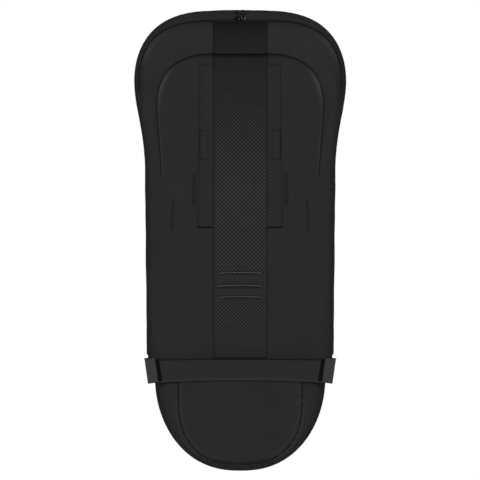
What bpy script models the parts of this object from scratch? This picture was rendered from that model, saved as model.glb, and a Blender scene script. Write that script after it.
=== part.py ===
"""Footmuff for a pushchair seat, modelled upright with its back towards -Y.

Sizes are in metres. While the pieces are drawn, heights run up from the toe of the foot pouch.
The finished assembly hangs from the mouth of its backrest pocket, which becomes the origin.
"""

import math

import bmesh
import bpy
from mathutils import Matrix, Vector

# Outline seen from behind
TOTAL_LENGTH = 1.000
HOOD_HALF_WIDTH = 0.2304
HOOD_RISE = 0.1522
HOOD_POWER = 2.7
WAIST_HEIGHT = 0.648
WAIST_HALF_WIDTH = 0.2065
HEM_HEIGHT = 0.261
HEM_HALF_WIDTH = 0.2022
TOE_RADIUS = 0.185

# Zip seam, drawn in from the outline
SEAM_HALF_WIDTH = 0.2224
SEAM_RISE = 0.1315
SEAM_INSET = 0.0035
SEAM_MERGE_DROP = 0.1028

# Depth of the padded cover and the foot pouch
COVER_DEPTH = 0.118
WIDEST_DEPTH = 0.060
COVER_POWER = 2.6
FACING = 0.0015
COVER_FILL = 0.008
FOLD_HEIGHT = 0.248
FOLD_GAP = 0.002
FOLD_PIVOT_OUT = 0.002

# Back panel
BACK_HEM = 0.217
BACK_CORNER = 0.022
BACK_ROLL = 0.018
BACK_SKIN = 0.002
BACK_FILL = 0.018
GAP = 0.0003

# Pocket that slips over the top of the seat's backrest
POCKET_DROP = 0.0965
POCKET_HALF_WIDTH = 0.181
POCKET_ARCH_RISE = 0.1078
POCKET_ARM_LENGTH = 0.1587
POCKET_ARM_HALF_WIDTH = 0.172
POCKET_TAPER_LENGTH = 0.143
POCKET_SPACE = 0.010
POCKET_SKIN = 0.002

# Rubber-dotted grip strip and the harness patch under it
STRIP_HALF_WIDTH = 0.0587
STRIP_THICKNESS = 0.0015
STRIP_BOTTOM = 0.2435
STRIP_TUCK = 0.026
STRIP_CURVE_GAP = 0.0007
STRIP_RAMP = 0.010
SEAT_FACE_DROP = 0.0537
SEAT_FACE_LENGTH = 0.060
PATCH_DROP = 0.0222
PATCH_LENGTH = 0.3526
PATCH_TOP_HALF_WIDTH = 0.0867
PATCH_BOTTOM_HALF_WIDTH = 0.0920
PATCH_THICKNESS = 0.0012
TAB_WIDTH = 0.0155
TAB_LENGTH = 0.0617
TAB_DROP = 0.1733
TAB_OUTER = 0.0870
TAB_THICKNESS = 0.0010

# Harness slots: how far out and below the pocket's mouth each is, its lean, and the sizes they share
INNER_SLOT = (0.1002, 0.2945, math.radians(0.8))
OUTER_SLOT = (0.1466, 0.3485, math.radians(1.4))
SLOT_LENGTH = 0.066
CROTCH_LENGTH = 0.094
CROTCH_DROPS = (0.1004, 0.1282, 0.1526)
SLOT_WIDTH = 0.006
BINDING_WALL = 0.001
BINDING_LIP = 0.0018
BINDING_LIP_DEPTH = 0.0008

# Elastic cross strap and the webbing loops that hold it
STRAP_TOP = 0.2413
STRAP_WIDTH = 0.0456
STRAP_SPREAD = 0.0042
STRAP_DROP = 0.0011
STRAP_THICKNESS = 0.0018
STRAP_STANDOFF = 0.008
STRAP_UNDER_LOOP = 0.008
LOOP_REACH = 0.0225
LOOP_LENGTH = 0.052
LOOP_THICKNESS = 0.002
LOOP_LEAN = math.radians(8.0)
LOOP_SIDE_DEPTH = 0.028
LOOP_SEAT = 0.0006

# Sole panel on the back of the foot pouch
SOLE_HALF_WIDTH = 0.1335
SOLE_TOE_CENTRE = 0.1087
SOLE_TOE_RISE = 0.0967
SOLE_THICKNESS = 0.003
SOLE_EDGE = 0.0016
SOLE_BORDER = 0.012
SOLE_DEPTH = 0.004
PIPING_RADIUS = 0.002

# Face opening in the cover
FACE_DROP = 0.075
FACE_LENGTH = 0.235
FACE_HALF_WIDTH = 0.150
FACE_POWER = 2.8
BINDING_RADIUS = 0.007

# Zip
TAPE_WIDTH = 0.003
TAPE_THICKNESS = 0.001
COIL_WIDTH = 0.002
COIL_THICKNESS = 0.0026
COIL_PROUD = 0.0004
ZIP_END_GAP = 0.008
SLIDER_LENGTH = 0.012
SLIDER_WIDTH = 0.009
SLIDER_THICKNESS = 0.002
SLIDER_CLEARANCE = 0.0007
SLIDER_SPACING = 0.001
CROWN_BAR = 0.0016
KNUCKLE_RADIUS = 0.0028
KNUCKLE_BORE = 0.0017
PULL_LENGTH = 0.026
PULL_WIDTH = 0.005
PULL_THICKNESS = 0.0014
PULL_LEAN = math.radians(54.0)

# Facets
TOE_STEPS = 7
SIDE_STEPS = 9
FLANK_STEPS = 4
ARM_STEPS = 4
HOOD_STEPS = 9
ROLL_STEPS = 3
CORNER_STEPS = 3
SLOT_END_STEPS = 4
OPENING_STEPS = 32
TUBE_SIDES = 8
COVER_RATIOS = (1.0, 0.965, 0.88, 0.74, 0.55, 0.32)
SOLE_TURNS = (24, 50, 74, 90)

# Sizes that follow from the ones above
HOOD_CENTRE = TOTAL_LENGTH - HOOD_RISE
SEAM_MERGE_HEIGHT = HOOD_CENTRE - SEAM_MERGE_DROP
POCKET_MOUTH = TOTAL_LENGTH - POCKET_DROP
POCKET_SHOULDER = POCKET_MOUTH - POCKET_ARCH_RISE
POCKET_ARM_END = POCKET_SHOULDER - POCKET_ARM_LENGTH
POCKET_TAPER_TOP = POCKET_ARM_END + POCKET_TAPER_LENGTH
PATCH_TOP = POCKET_MOUTH - PATCH_DROP
PATCH_BOTTOM = PATCH_TOP - PATCH_LENGTH
TAB_HEIGHT = PATCH_TOP - TAB_DROP
SEAT_FACE_HEIGHT = PATCH_BOTTOM - SEAT_FACE_DROP
FACE_HIGH = TOTAL_LENGTH - FACE_DROP
FACE_LOW = FACE_HIGH - FACE_LENGTH
BACK_FILL_FACE = BACK_SKIN + GAP
LINING_FACE = BACK_FILL_FACE + BACK_FILL + GAP
BACK_RIM = LINING_FACE + BACK_SKIN
TAPE_BACK_EDGE = BACK_RIM + GAP
COIL_BACK_EDGE = TAPE_BACK_EDGE + TAPE_WIDTH + GAP
COIL_COVER_EDGE = COIL_BACK_EDGE + COIL_WIDTH + GAP
TAPE_COVER_EDGE = COIL_COVER_EDGE + COIL_WIDTH + GAP
COVER_EDGE = TAPE_COVER_EDGE + TAPE_WIDTH + GAP
ZIP_MIDDLE = COIL_COVER_EDGE - GAP / 2
COVER_THICKNESS = 2 * FACING + COVER_FILL + 2 * GAP
STRIP_ON_PATCH = PATCH_THICKNESS + 2 * GAP


def ease(start, end, share):
    """Go from start to end with a level tangent at both."""
    share = min(max(share, 0.0), 1.0)
    return start + (end - start) * share * share * (3 - 2 * share)


def superellipse(half_width, rise, power, angle):
    """Point on a superellipse at an angle measured up from +X."""
    across = abs(math.cos(angle)) ** (2 / power) * half_width
    up = abs(math.sin(angle)) ** (2 / power) * rise
    return math.copysign(across, math.cos(angle)), math.copysign(up, math.sin(angle))


def half_width(height):
    """Half of the outline's width between the toe's curve and the hood's."""
    if height <= HEM_HEIGHT:
        return ease(TOE_RADIUS, HEM_HALF_WIDTH, (height - TOE_RADIUS) / (HEM_HEIGHT - TOE_RADIUS))
    if height <= WAIST_HEIGHT:
        share = (height - HEM_HEIGHT) / (WAIST_HEIGHT - HEM_HEIGHT)
        return HEM_HALF_WIDTH + (WAIST_HALF_WIDTH - HEM_HALF_WIDTH) * share
    return ease(WAIST_HALF_WIDTH, HOOD_HALF_WIDTH, (height - WAIST_HEIGHT) / (HOOD_CENTRE - WAIST_HEIGHT))


def seam_inset(height):
    """How far the zip seam lies inside the outline at the sides."""
    share = (height - SEAM_MERGE_HEIGHT) / (HOOD_CENTRE - SEAM_MERGE_HEIGHT)
    return ease(SEAM_INSET, HOOD_HALF_WIDTH - SEAM_HALF_WIDTH, share)


def steps(start, end, count):
    """Evenly spaced values from start to end, with end left out."""
    return [start + (end - start) * k / count for k in range(count)]


def mirrored(right):
    """Close a half outline whose first and last points lie on the middle line."""
    return right + [(-x, z) for x, z in reversed(right[1:-1])]


def hood_arc(half, rise):
    """Right half of the hood's arc, from its widest point to the top."""
    angles = [math.pi / 2 * k / HOOD_STEPS for k in range(HOOD_STEPS)]
    arc = [superellipse(half, rise, HOOD_POWER, angle) for angle in angles]
    return [(x, HOOD_CENTRE + z) for x, z in arc] + [(0.0, HOOD_CENTRE + rise)]


def toe_arc(radius):
    """Right half of the toe's round end."""
    angles = steps(0.0, math.pi / 2, TOE_STEPS)
    return [(radius * math.sin(a), TOE_RADIUS - radius * math.cos(a)) for a in angles]


def outline():
    """The widest outline, toe to hood, anticlockwise seen from behind."""
    sides = [(half_width(z), z) for z in steps(TOE_RADIUS, HOOD_CENTRE, SIDE_STEPS)]
    return mirrored(toe_arc(TOE_RADIUS) + sides + hood_arc(HOOD_HALF_WIDTH, HOOD_RISE))


def seam_outline():
    """The zip seam, point for point inside the widest outline."""
    sides = [(half_width(z) - seam_inset(z), z) for z in steps(TOE_RADIUS, HOOD_CENTRE, SIDE_STEPS)]
    return mirrored(toe_arc(TOE_RADIUS - SEAM_INSET) + sides + hood_arc(SEAM_HALF_WIDTH, SEAM_RISE))


def back_half_width(height):
    """Half width of the back panel, which keeps its width down to its hem."""
    return half_width(max(height, HEM_HEIGHT)) - seam_inset(height)


def back_outline():
    """The back panel: a straight hem with round corners, then the zip seam's line."""
    corner_height = BACK_HEM + BACK_CORNER
    corner_x = back_half_width(corner_height) - BACK_CORNER
    angles = [math.pi / 2 * k / CORNER_STEPS for k in range(CORNER_STEPS)]
    corner = [(corner_x + BACK_CORNER * math.sin(a), corner_height - BACK_CORNER * math.cos(a)) for a in angles]
    heights = steps(corner_height, POCKET_ARM_END, FLANK_STEPS) + steps(POCKET_ARM_END, HOOD_CENTRE, ARM_STEPS)
    sides = [(back_half_width(z), z) for z in heights]
    return mirrored([(0.0, BACK_HEM)] + corner + sides + hood_arc(SEAM_HALF_WIDTH, SEAM_RISE))


def inward(loop):
    """Unit normals of a closed anticlockwise outline, pointing to its inside."""
    normals = []
    for k, point in enumerate(loop):
        before = Vector(loop[k - 1])
        after = Vector(loop[(k + 1) % len(loop)])
        here = Vector(point)
        along = (here - before).normalized() + (after - here).normalized()
        along.normalize()
        normals.append(Vector((-along.y, along.x)))
    return normals


def shrink(loop, inset):
    """Move every point of an outline inwards by the same distance."""
    return [tuple(Vector(p) + n * inset) for p, n in zip(loop, inward(loop))]


def ring(loop, depth):
    """Stand a flat outline at one depth."""
    return [Vector((x, depth, z)) for x, z in loop]


def loft(rings, closed=False):
    """Skin a row of point rings, with a face over each end unless the row is closed.

    Each quad is split from the ring nearer the back, so that nested layers stay parallel.
    """
    mesh = bmesh.new()
    rows = [[mesh.verts.new(point) for point in points] for points in rings]
    count = len(rows[0])
    pairs = list(zip(rows, rows[1:]))
    if closed:
        pairs.append((rows[-1], rows[0]))
    for low, high in pairs:
        if low[0].co.y > high[0].co.y:
            low, high = high, low
        for k in range(count):
            after = (k + 1) % count
            mesh.faces.new((low[k], low[after], high[after]))
            mesh.faces.new((low[k], high[after], high[k]))
    if not closed:
        mesh.faces.new(rows[0])
        mesh.faces.new(rows[-1])
    bmesh.ops.recalc_face_normals(mesh, faces=mesh.faces)
    return mesh


def sheet(outer_rows, inner_rows):
    """Close a sheet between two grids of points."""
    return loft([outer + inner[::-1] for outer, inner in zip(outer_rows, inner_rows)])


def block(low, high):
    """Box between two corners."""
    mesh = bmesh.new()
    size = Vector(high) - Vector(low)
    middle = (Vector(high) + Vector(low)) / 2
    bmesh.ops.create_cube(mesh, size=1.0, matrix=Matrix.Translation(middle) @ Matrix.Diagonal(size.to_4d()))
    return mesh


def tube(path, radius, closed):
    """Round tube along points, its sides turned from the depth axis."""
    rings = []
    last = len(path) - 1
    for k, point in enumerate(path):
        before = path[k - 1] if closed or k else point
        after = path[(k + 1) % len(path)] if closed or k < last else point
        along = (after - before).normalized()
        out = along.cross(Vector((0, 1, 0))).normalized()
        side = out.cross(along)
        turns = [2 * math.pi * s / TUBE_SIDES for s in range(TUBE_SIDES)]
        rings.append([point + (out * math.cos(t) + side * math.sin(t)) * radius for t in turns])
    return loft(rings, closed)


def material(name, colour, roughness, metallic=0.0):
    """Principled material with one colour."""
    made = bpy.data.materials.new(name)
    made.use_nodes = True
    shader = made.node_tree.nodes["Principled BSDF"]
    shader.inputs["Base Color"].default_value = (*colour, 1.0)
    shader.inputs["Roughness"].default_value = roughness
    shader.inputs["Metallic"].default_value = metallic
    return made


def add(name, mesh, finish, parent, pivot=(0, 0, 0)):
    """Make a named object whose own origin is at pivot."""
    bmesh.ops.translate(mesh, verts=mesh.verts, vec=-Vector(pivot))
    data = bpy.data.meshes.new(name)
    mesh.to_mesh(data)
    mesh.free()
    data.materials.append(finish)
    data.shade_smooth()
    data.set_sharp_from_angle(angle=math.radians(40))
    made = bpy.data.objects.new(name, data)
    made.location = pivot
    made.parent = parent
    bpy.context.collection.objects.link(made)
    return made


def hide_tool(made):
    """Mark an object that only cuts others."""
    made.hide_render = True
    made.display_type = "WIRE"
    return made


def cut(made, tool, operation="DIFFERENCE"):
    """Cut an object with another one."""
    modifier = made.modifiers.new(tool.name, "BOOLEAN")
    modifier.operation = operation
    modifier.object = tool
    modifier.solver = "EXACT"


def roll_profile(roll):
    """Insets and depths of a quarter-round edge, from its wall to its flat."""
    angles = [math.pi / 2 * k / ROLL_STEPS for k in range(ROLL_STEPS + 1)]
    return [(roll * (1 - math.cos(a)), roll * (1 - math.sin(a))) for a in angles]


def tray_rings(loop, inset, floor, rim, roll):
    """Rings of a rolled edge from its rim down to its flat back."""
    rings = [ring(shrink(loop, inset), rim)]
    for step_in, step_up in roll_profile(roll):
        rings.append(ring(shrink(loop, inset + step_in), floor + step_up))
    return rings


def cover_rings(thickness):
    """Rings of the cover's dome at a depth of thickness under its face, from its zip edge to its front."""
    widest = shrink(outline(), thickness)
    seam = shrink(seam_outline(), thickness)
    rings = []
    for share in (1.0, 0.5):
        depth = WIDEST_DEPTH + (COVER_EDGE - WIDEST_DEPTH) * share
        rings.append([w.lerp(s, share * share) for w, s in zip(ring(widest, depth), ring(seam, depth))])
    return rings + front_rings(widest, thickness)


def front_rings(widest, thickness):
    """Rings from the widest outline to the flat front, drawn in towards the middle line."""
    rings = []
    for ratio in COVER_RATIOS:
        rise = (1 - ratio**COVER_POWER) ** (1 / COVER_POWER)
        depth = WIDEST_DEPTH + (COVER_DEPTH - thickness - WIDEST_DEPTH) * rise
        points = []
        for x, z in widest:
            middle = min(max(z, TOE_RADIUS), HOOD_CENTRE)
            points.append(Vector((x * ratio, depth, middle + (z - middle) * ratio)))
        rings.append(points)
    return rings


def cover_depth_at(x, z, thickness):
    """Depth of the cover's dome at a point of its front, thickness under its face."""
    middle = min(max(z, TOE_RADIUS), HOOD_CENTRE)
    if z <= HOOD_CENTRE:
        ratio = abs(x) / (half_width(z) - thickness)
    else:
        across = abs(x) / (HOOD_HALF_WIDTH - thickness)
        up = (z - middle) / (HOOD_RISE - thickness)
        ratio = (across**HOOD_POWER + up**HOOD_POWER) ** (1 / HOOD_POWER)
    rise = max(1 - ratio**COVER_POWER, 0.0) ** (1 / COVER_POWER)
    return WIDEST_DEPTH + (COVER_DEPTH - thickness - WIDEST_DEPTH) * rise


def face_outline(outset):
    """Egg-shaped face opening in the cover."""
    middle = (FACE_LOW + FACE_HIGH) / 2
    rise = (FACE_HIGH - FACE_LOW) / 2 + outset
    angles = steps(0.0, 2 * math.pi, OPENING_STEPS)
    points = [superellipse(FACE_HALF_WIDTH + outset, rise, FACE_POWER, a) for a in angles]
    return [(x, middle + z) for x, z in points]


def slot_outline(length, width):
    """Upright slot with round ends, about its own middle."""
    half = (length - width) / 2
    points = []
    for end, start in ((half, 0.0), (-half, math.pi)):
        for k in range(SLOT_END_STEPS + 1):
            angle = start + math.pi * k / SLOT_END_STEPS
            points.append((width / 2 * math.cos(angle), end + width / 2 * math.sin(angle)))
    return points


def slot_ring(length, width, depth, middle, lean):
    """Slot outline leaning by an angle about a middle point, at one depth."""
    turn = Matrix.Rotation(lean, 3, "Y")
    return [turn @ Vector((x, 0, z)) + Vector((middle[0], depth, middle[1])) for x, z in slot_outline(length, width)]


def back_pieces(root, finishes):
    """Back panel: an outer tray, the pad in it and the lining on the pad."""
    loop = back_outline()
    outer = tray_rings(loop, 0.0, 0.0, BACK_RIM, BACK_ROLL)
    inner = tray_rings(loop, BACK_SKIN, BACK_SKIN, BACK_RIM, BACK_ROLL - BACK_SKIN)
    shell = add("back_shell", loft(inner[::-1] + outer), finishes["softshell"], root)
    fill_top = BACK_FILL_FACE + BACK_FILL
    fill_rings = tray_rings(loop, BACK_FILL_FACE, BACK_FILL_FACE, fill_top, BACK_ROLL - BACK_FILL_FACE)
    padding = add("back_padding", loft(fill_rings), finishes["wadding"], root)
    flat = shrink(loop, BACK_FILL_FACE)
    lining = add("back_lining", loft([ring(flat, LINING_FACE), ring(flat, BACK_RIM)]), finishes["fleece"], root)
    return [shell, padding, lining]


def pocket_along():
    """Outer edge points of the pocket with their normals, and the mouth's points, from one arm to the other."""
    arch = []
    for share in steps(0.0, 1.0, ARM_STEPS):
        height = POCKET_ARM_END + (POCKET_SHOULDER - POCKET_ARM_END) * share
        arch.append((ease(POCKET_ARM_HALF_WIDTH, POCKET_HALF_WIDTH, share), height))
    for k in range(HOOD_STEPS):
        angle = math.pi / 2 * k / HOOD_STEPS
        x, z = superellipse(POCKET_HALF_WIDTH, POCKET_MOUTH - POCKET_SHOULDER, HOOD_POWER, angle)
        arch.append((x, POCKET_SHOULDER + z))
    arch += [(0.0, POCKET_MOUTH)] + [(-x, z) for x, z in reversed(arch)]
    loop = back_outline()
    first = 1 + CORNER_STEPS + FLANK_STEPS
    edge = list(zip(loop, inward(loop)))[first : first + len(arch)]
    reach = POCKET_SKIN + GAP
    return [(Vector(p) - n * reach, n, Vector(q)) for (p, n), q in zip(edge, arch)]


def pocket_floor(height):
    """Depth of the pocket's outer face: it lies on the panel at the arms and stands off at the top."""
    share = (height - POCKET_ARM_END) / (POCKET_TAPER_TOP - POCKET_ARM_END)
    return -(GAP + POCKET_SKIN) - ease(0.0, POCKET_SPACE, share)


def pocket_pieces(root, finishes):
    """Horseshoe pocket over the top of the back, and the part of the grip strip sewn on it."""
    roll = BACK_ROLL + POCKET_SKIN + GAP
    rings = []
    for edge, normal, arch in pocket_along():
        floor = pocket_floor(edge.y)
        section = []
        for skin in (0.0, POCKET_SKIN):
            line = [(skin, BACK_RIM)]
            line += [(skin + i, floor + skin + up) for i, up in roll_profile(roll - skin)]
            points = [Vector((edge.x + normal.x * i, y, edge.y + normal.y * i)) for i, y in line]
            points.append(Vector((arch.x, pocket_floor(arch.y) + skin, arch.y)))
            section.append(points)
        rings.append(section[0] + section[1][::-1])
    pocket = add("backrest_pocket", loft(rings), finishes["softshell"], root)
    strip = add("grip_strip_upper", upper_strip(roll), finishes["grip"], root)
    return [pocket, strip]


def upper_strip(roll):
    """Grip strip on the pocket: flat from the mouth up, then round the top edge."""
    floor = pocket_floor(HOOD_CENTRE)
    faces = []
    for lift in (STRIP_CURVE_GAP + STRIP_THICKNESS, STRIP_CURVE_GAP):
        rows = []
        for x in (-STRIP_HALF_WIDTH, -STRIP_HALF_WIDTH / 2, 0.0, STRIP_HALF_WIDTH / 2, STRIP_HALF_WIDTH):
            rise = (1 - (abs(x) / SEAM_HALF_WIDTH) ** HOOD_POWER) ** (1 / HOOD_POWER)
            centre = HOOD_CENTRE + SEAM_RISE * rise + POCKET_SKIN + GAP - roll
            bend = [math.radians(60) * k / ROLL_STEPS for k in range(ROLL_STEPS + 1)]
            line = [Vector((x, floor - lift, POCKET_MOUTH + STRIP_CURVE_GAP))]
            for angle in bend:
                up = (roll + lift) * math.sin(angle)
                back = (roll + lift) * math.cos(angle)
                line.append(Vector((x, floor + roll - back, centre + up)))
            rows.append(line)
        faces.append(rows)
    return sheet(faces[0], faces[1])


def strip_and_patch(root, finishes):
    """Lower grip strip, stepping over the harness patch, with the patch and its two tabs."""
    seat_low = SEAT_FACE_HEIGHT - SEAT_FACE_LENGTH / 2
    seat_high = SEAT_FACE_HEIGHT + SEAT_FACE_LENGTH / 2
    patch_low = PATCH_BOTTOM - GAP
    patch_high = PATCH_TOP + GAP
    levels = [(STRIP_BOTTOM, GAP), (seat_low, GAP), (seat_high, GAP), (patch_low - STRIP_RAMP, GAP)]
    levels += [(patch_low, STRIP_ON_PATCH), (patch_high, STRIP_ON_PATCH), (patch_high + STRIP_RAMP, GAP)]
    levels.append((POCKET_MOUTH + STRIP_TUCK, GAP))
    sides = (-STRIP_HALF_WIDTH, STRIP_HALF_WIDTH)
    outer = [[Vector((x, -y - STRIP_THICKNESS, z)) for x in sides] for z, y in levels]
    inner = [[Vector((x, -y, z)) for x in sides] for z, y in levels]
    strip = add("grip_strip_lower", sheet(outer, inner), finishes["grip"], root)
    corners = [(PATCH_BOTTOM_HALF_WIDTH, PATCH_BOTTOM), (PATCH_TOP_HALF_WIDTH, PATCH_TOP)]
    corners += [(-x, z) for x, z in reversed(corners)]
    patch_mesh = loft([ring(corners, -GAP), ring(corners, -GAP - PATCH_THICKNESS)])
    patch = add("harness_patch", patch_mesh, finishes["softshell"], root)
    tabs = []
    face = -STRIP_ON_PATCH
    for name, side in (("left", -1), ("right", 1)):
        ends = sorted((side * TAB_OUTER, side * (TAB_OUTER - TAB_WIDTH)))
        low = (ends[0], face - TAB_THICKNESS, TAB_HEIGHT - TAB_LENGTH / 2)
        high = (ends[1], face, TAB_HEIGHT + TAB_LENGTH / 2)
        tabs.append(add(f"harness_tab_{name}", block(low, high), finishes["loop_tape"], root))
    return strip, [patch] + tabs


def slot_places():
    """Name, middle, lean and length of every slot, with the depth of the face its lip lies on."""
    places = []
    for name, (x, drop, lean) in (("inner", INNER_SLOT), ("outer", OUTER_SLOT)):
        z = POCKET_MOUTH - drop
        for hand, side in (("left", -1), ("right", 1)):
            places.append((f"harness_slot_{name}_{hand}", (side * x, z), -side * lean, SLOT_LENGTH, 0.0))
    for number, drop in enumerate(CROTCH_DROPS, 1):
        on_strip = -GAP - STRIP_THICKNESS
        middle = (0.0, PATCH_BOTTOM - drop)
        places.append((f"crotch_slot_{number}", middle, math.pi / 2, CROTCH_LENGTH, on_strip))
    return places


def slot_pieces(root, finishes, layers, strip):
    """Bound slots for the harness: a sleeve through all layers with a lip on each face."""
    for name, middle, lean, length, face in slot_places():
        hole = 2 * (BINDING_WALL + GAP)
        depth = BACK_RIM + COVER_DEPTH
        rings = [slot_ring(length + hole, SLOT_WIDTH + hole, y, middle, lean) for y in (-depth, depth)]
        tool = hide_tool(add(f"{name}_cutter", loft(rings), finishes["binding"], root))
        for layer in layers + ([strip] if face else []):
            cut(layer, tool)
        back = face - GAP
        front = BACK_RIM + GAP
        wall = 2 * BINDING_WALL
        lip = wall + 2 * BINDING_LIP
        outside = [(lip, back - BINDING_LIP_DEPTH), (lip, back), (wall, back), (wall, front)]
        outside += [(lip, front), (lip, front + BINDING_LIP_DEPTH)]
        bore = [(0.0, front + BINDING_LIP_DEPTH), (0.0, back - BINDING_LIP_DEPTH)]
        rings = [slot_ring(length + w, SLOT_WIDTH + w, y, middle, lean) for w, y in outside + bore]
        add(f"{name}_binding", loft(rings, closed=True), finishes["binding"], root)


def strap_pieces(root, finishes):
    """Elastic strap across the back and the webbing loops sewn to the sides."""
    side_wall = back_half_width(BACK_HEM)
    loop_tip = side_wall + LOOP_SEAT + LOOP_THICKNESS - LOOP_REACH
    half = loop_tip + STRAP_UNDER_LOOP
    outer = []
    inner = []
    for share in (-1.0, -0.66, -0.33, 0.0, 0.33, 0.66, 1.0):
        top = STRAP_TOP - STRAP_DROP * share * share
        low = STRAP_TOP - STRAP_WIDTH - (STRAP_DROP + STRAP_SPREAD) * share * share
        outer.append([Vector((half * share, -STRAP_STANDOFF - STRAP_THICKNESS, z)) for z in (low, top)])
        inner.append([Vector((half * share, -STRAP_STANDOFF, z)) for z in (low, top)])
    add("cross_strap", sheet(outer, inner), finishes["elastic"], root)
    for name, side in (("left", -1), ("right", 1)):
        add(f"strap_loop_{name}", strap_loop(side, side_wall, loop_tip), finishes["webbing"], root)


def strap_loop(side, side_wall, tip):
    """Webbing folded from the side seam round to the back, leaning in towards the toe."""
    face = -STRAP_STANDOFF - STRAP_THICKNESS - GAP
    leg = side_wall + LOOP_SEAT
    profile = [(tip, face), (leg, face), (leg, LOOP_SIDE_DEPTH), (leg + LOOP_THICKNESS, LOOP_SIDE_DEPTH)]
    profile += [(leg + LOOP_THICKNESS, face), (leg, face - LOOP_THICKNESS), (tip, face - LOOP_THICKNESS)]
    middle = STRAP_TOP - STRAP_WIDTH / 2
    seat = Vector((side * leg, 0, BACK_HEM + BACK_CORNER))
    turn = Matrix.Rotation(side * LOOP_LEAN, 3, "Y")
    rings = []
    for z in (middle - LOOP_LENGTH / 2, middle + LOOP_LENGTH / 2):
        rings.append([turn @ (Vector((side * x, y, z)) - seat) + seat for x, y in profile])
    return loft(rings)


def sole_outline(inset):
    """Point for point under the foot's outline: straight sides and a half-ellipse at the toe."""
    half = SOLE_HALF_WIDTH - inset
    right = []
    for angle in steps(0.0, math.pi / 2, TOE_STEPS):
        rise = SOLE_TOE_RISE - inset
        right.append((half * math.sin(angle), SOLE_TOE_CENTRE - rise * math.cos(angle)))
    return right


def foot_side(inset, top):
    """Right side of the foot pouch above the toe's curve, up to a height."""
    heights = steps(TOE_RADIUS, HEM_HEIGHT, CORNER_STEPS + 1) + [HEM_HEIGHT, top]
    return [(half_width(z) - inset, z) for z in heights]


def foot_solid(thickness, top):
    """The foot pouch's form at a depth of thickness under its face, flat across its top."""
    right = toe_arc(TOE_RADIUS - thickness) + foot_side(thickness, top)
    widest = right + [(-x, z) for x, z in reversed(right[1:])]
    sole_right = sole_outline(thickness) + [(SOLE_HALF_WIDTH - thickness, z) for _, z in foot_side(0.0, top)]
    sole = sole_right + [(-x, z) for x, z in reversed(sole_right[1:])]
    rings = []
    for degrees in reversed(SOLE_TURNS):
        turn = math.radians(degrees)
        depth = WIDEST_DEPTH - (WIDEST_DEPTH - SOLE_DEPTH - thickness) * math.sin(turn)
        drawn_in = 1 - math.cos(turn)
        rings.append([w.lerp(s, drawn_in) for w, s in zip(ring(widest, depth), ring(sole, depth))])
    return loft(rings + front_rings(widest, thickness))


def foot_pieces(root, finishes):
    """Foot pouch in three layers, open at the top, with its sole panel and piping."""
    top = FOLD_HEIGHT + TOE_RADIUS
    wide = HOOD_HALF_WIDTH * 2
    above = block((-wide, -COVER_DEPTH, FOLD_HEIGHT - FOLD_GAP / 2), (wide, 2 * COVER_DEPTH, 2 * top))
    fold_tool = hide_tool(add("foot_fold_cutter", above, finishes["binding"], root))
    behind = block((-wide, -COVER_DEPTH, BACK_HEM - GAP), (wide, BACK_RIM + GAP, 2 * top))
    back_tool = hide_tool(add("foot_back_cutter", behind, finishes["binding"], root))
    depth = 0.0
    layers = (("foot_shell", FACING, "softshell"), ("foot_padding", COVER_FILL, "wadding"))
    layers += (("foot_lining", FACING, "fleece"),)
    for name, thickness, finish in layers:
        layer = add(name, foot_solid(depth, top), finishes[finish], root)
        inner = foot_solid(depth + thickness, top + depth + thickness)
        cut(layer, hide_tool(add(f"{name}_core", inner, finishes[finish], root)))
        cut(layer, fold_tool)
        cut(layer, back_tool)
        depth += thickness + GAP
    sole_pieces(root, finishes)


def sole_pieces(root, finishes):
    """Sole panel with a crowned face, and the piping in its seam."""
    panel_top = BACK_HEM - 2 * GAP
    rings = []
    for inset, lift in ((0.0, GAP), (0.0, GAP + SOLE_EDGE), (SOLE_BORDER, GAP + SOLE_THICKNESS)):
        right = sole_outline(inset) + [(SOLE_HALF_WIDTH - inset, panel_top)]
        loop = right + [(-x, z) for x, z in reversed(right[1:])]
        rings.append(ring(loop, SOLE_DEPTH - lift))
    add("sole_panel", loft(rings), finishes["softshell"], root)
    out = -(PIPING_RADIUS + 2 * GAP)
    right = sole_outline(out) + [(SOLE_HALF_WIDTH - out, panel_top)]
    path = [(-x, z) for x, z in reversed(right[1:])] + right
    depth = SOLE_DEPTH - PIPING_RADIUS - 2 * GAP
    add("sole_piping", tube(ring(path, depth), PIPING_RADIUS, closed=False), finishes["binding"], root)


def cover_pieces(root, finishes):
    """Padded cover in three layers, cut at the fold line and open for the face."""
    axis = (0.0, COVER_DEPTH + FOLD_PIVOT_OUT, FOLD_HEIGHT)
    wide = HOOD_HALF_WIDTH * 2
    below = block((-wide, -COVER_DEPTH, -TOTAL_LENGTH), (wide, 2 * COVER_DEPTH, FOLD_HEIGHT + FOLD_GAP / 2))
    fold_tool = hide_tool(add("cover_fold_cutter", below, finishes["binding"], root))
    face = face_outline(0.0)
    prism = loft([ring(face, WIDEST_DEPTH), ring(face, 2 * COVER_DEPTH)])
    face_tool = hide_tool(add("face_opening_cutter", prism, finishes["binding"], root))
    depth = 0.0
    layers = (("cover_shell", FACING, "softshell"), ("cover_padding", COVER_FILL, "wadding"))
    layers += (("cover_lining", FACING, "fleece"),)
    for name, thickness, finish in layers:
        rings = cover_rings(depth + thickness)[::-1] + cover_rings(depth)
        layer = add(name, loft(rings), finishes[finish], root, axis)
        cut(layer, fold_tool)
        cut(layer, face_tool)
        depth += thickness + GAP
    path = []
    for x, z in face_outline(-BINDING_RADIUS - 2 * GAP):
        path.append(Vector((x, cover_depth_at(x, z, COVER_THICKNESS / 2), z)))
    add("face_opening_binding", tube(path, BINDING_RADIUS, closed=True), finishes["binding"], root, axis)


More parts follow.
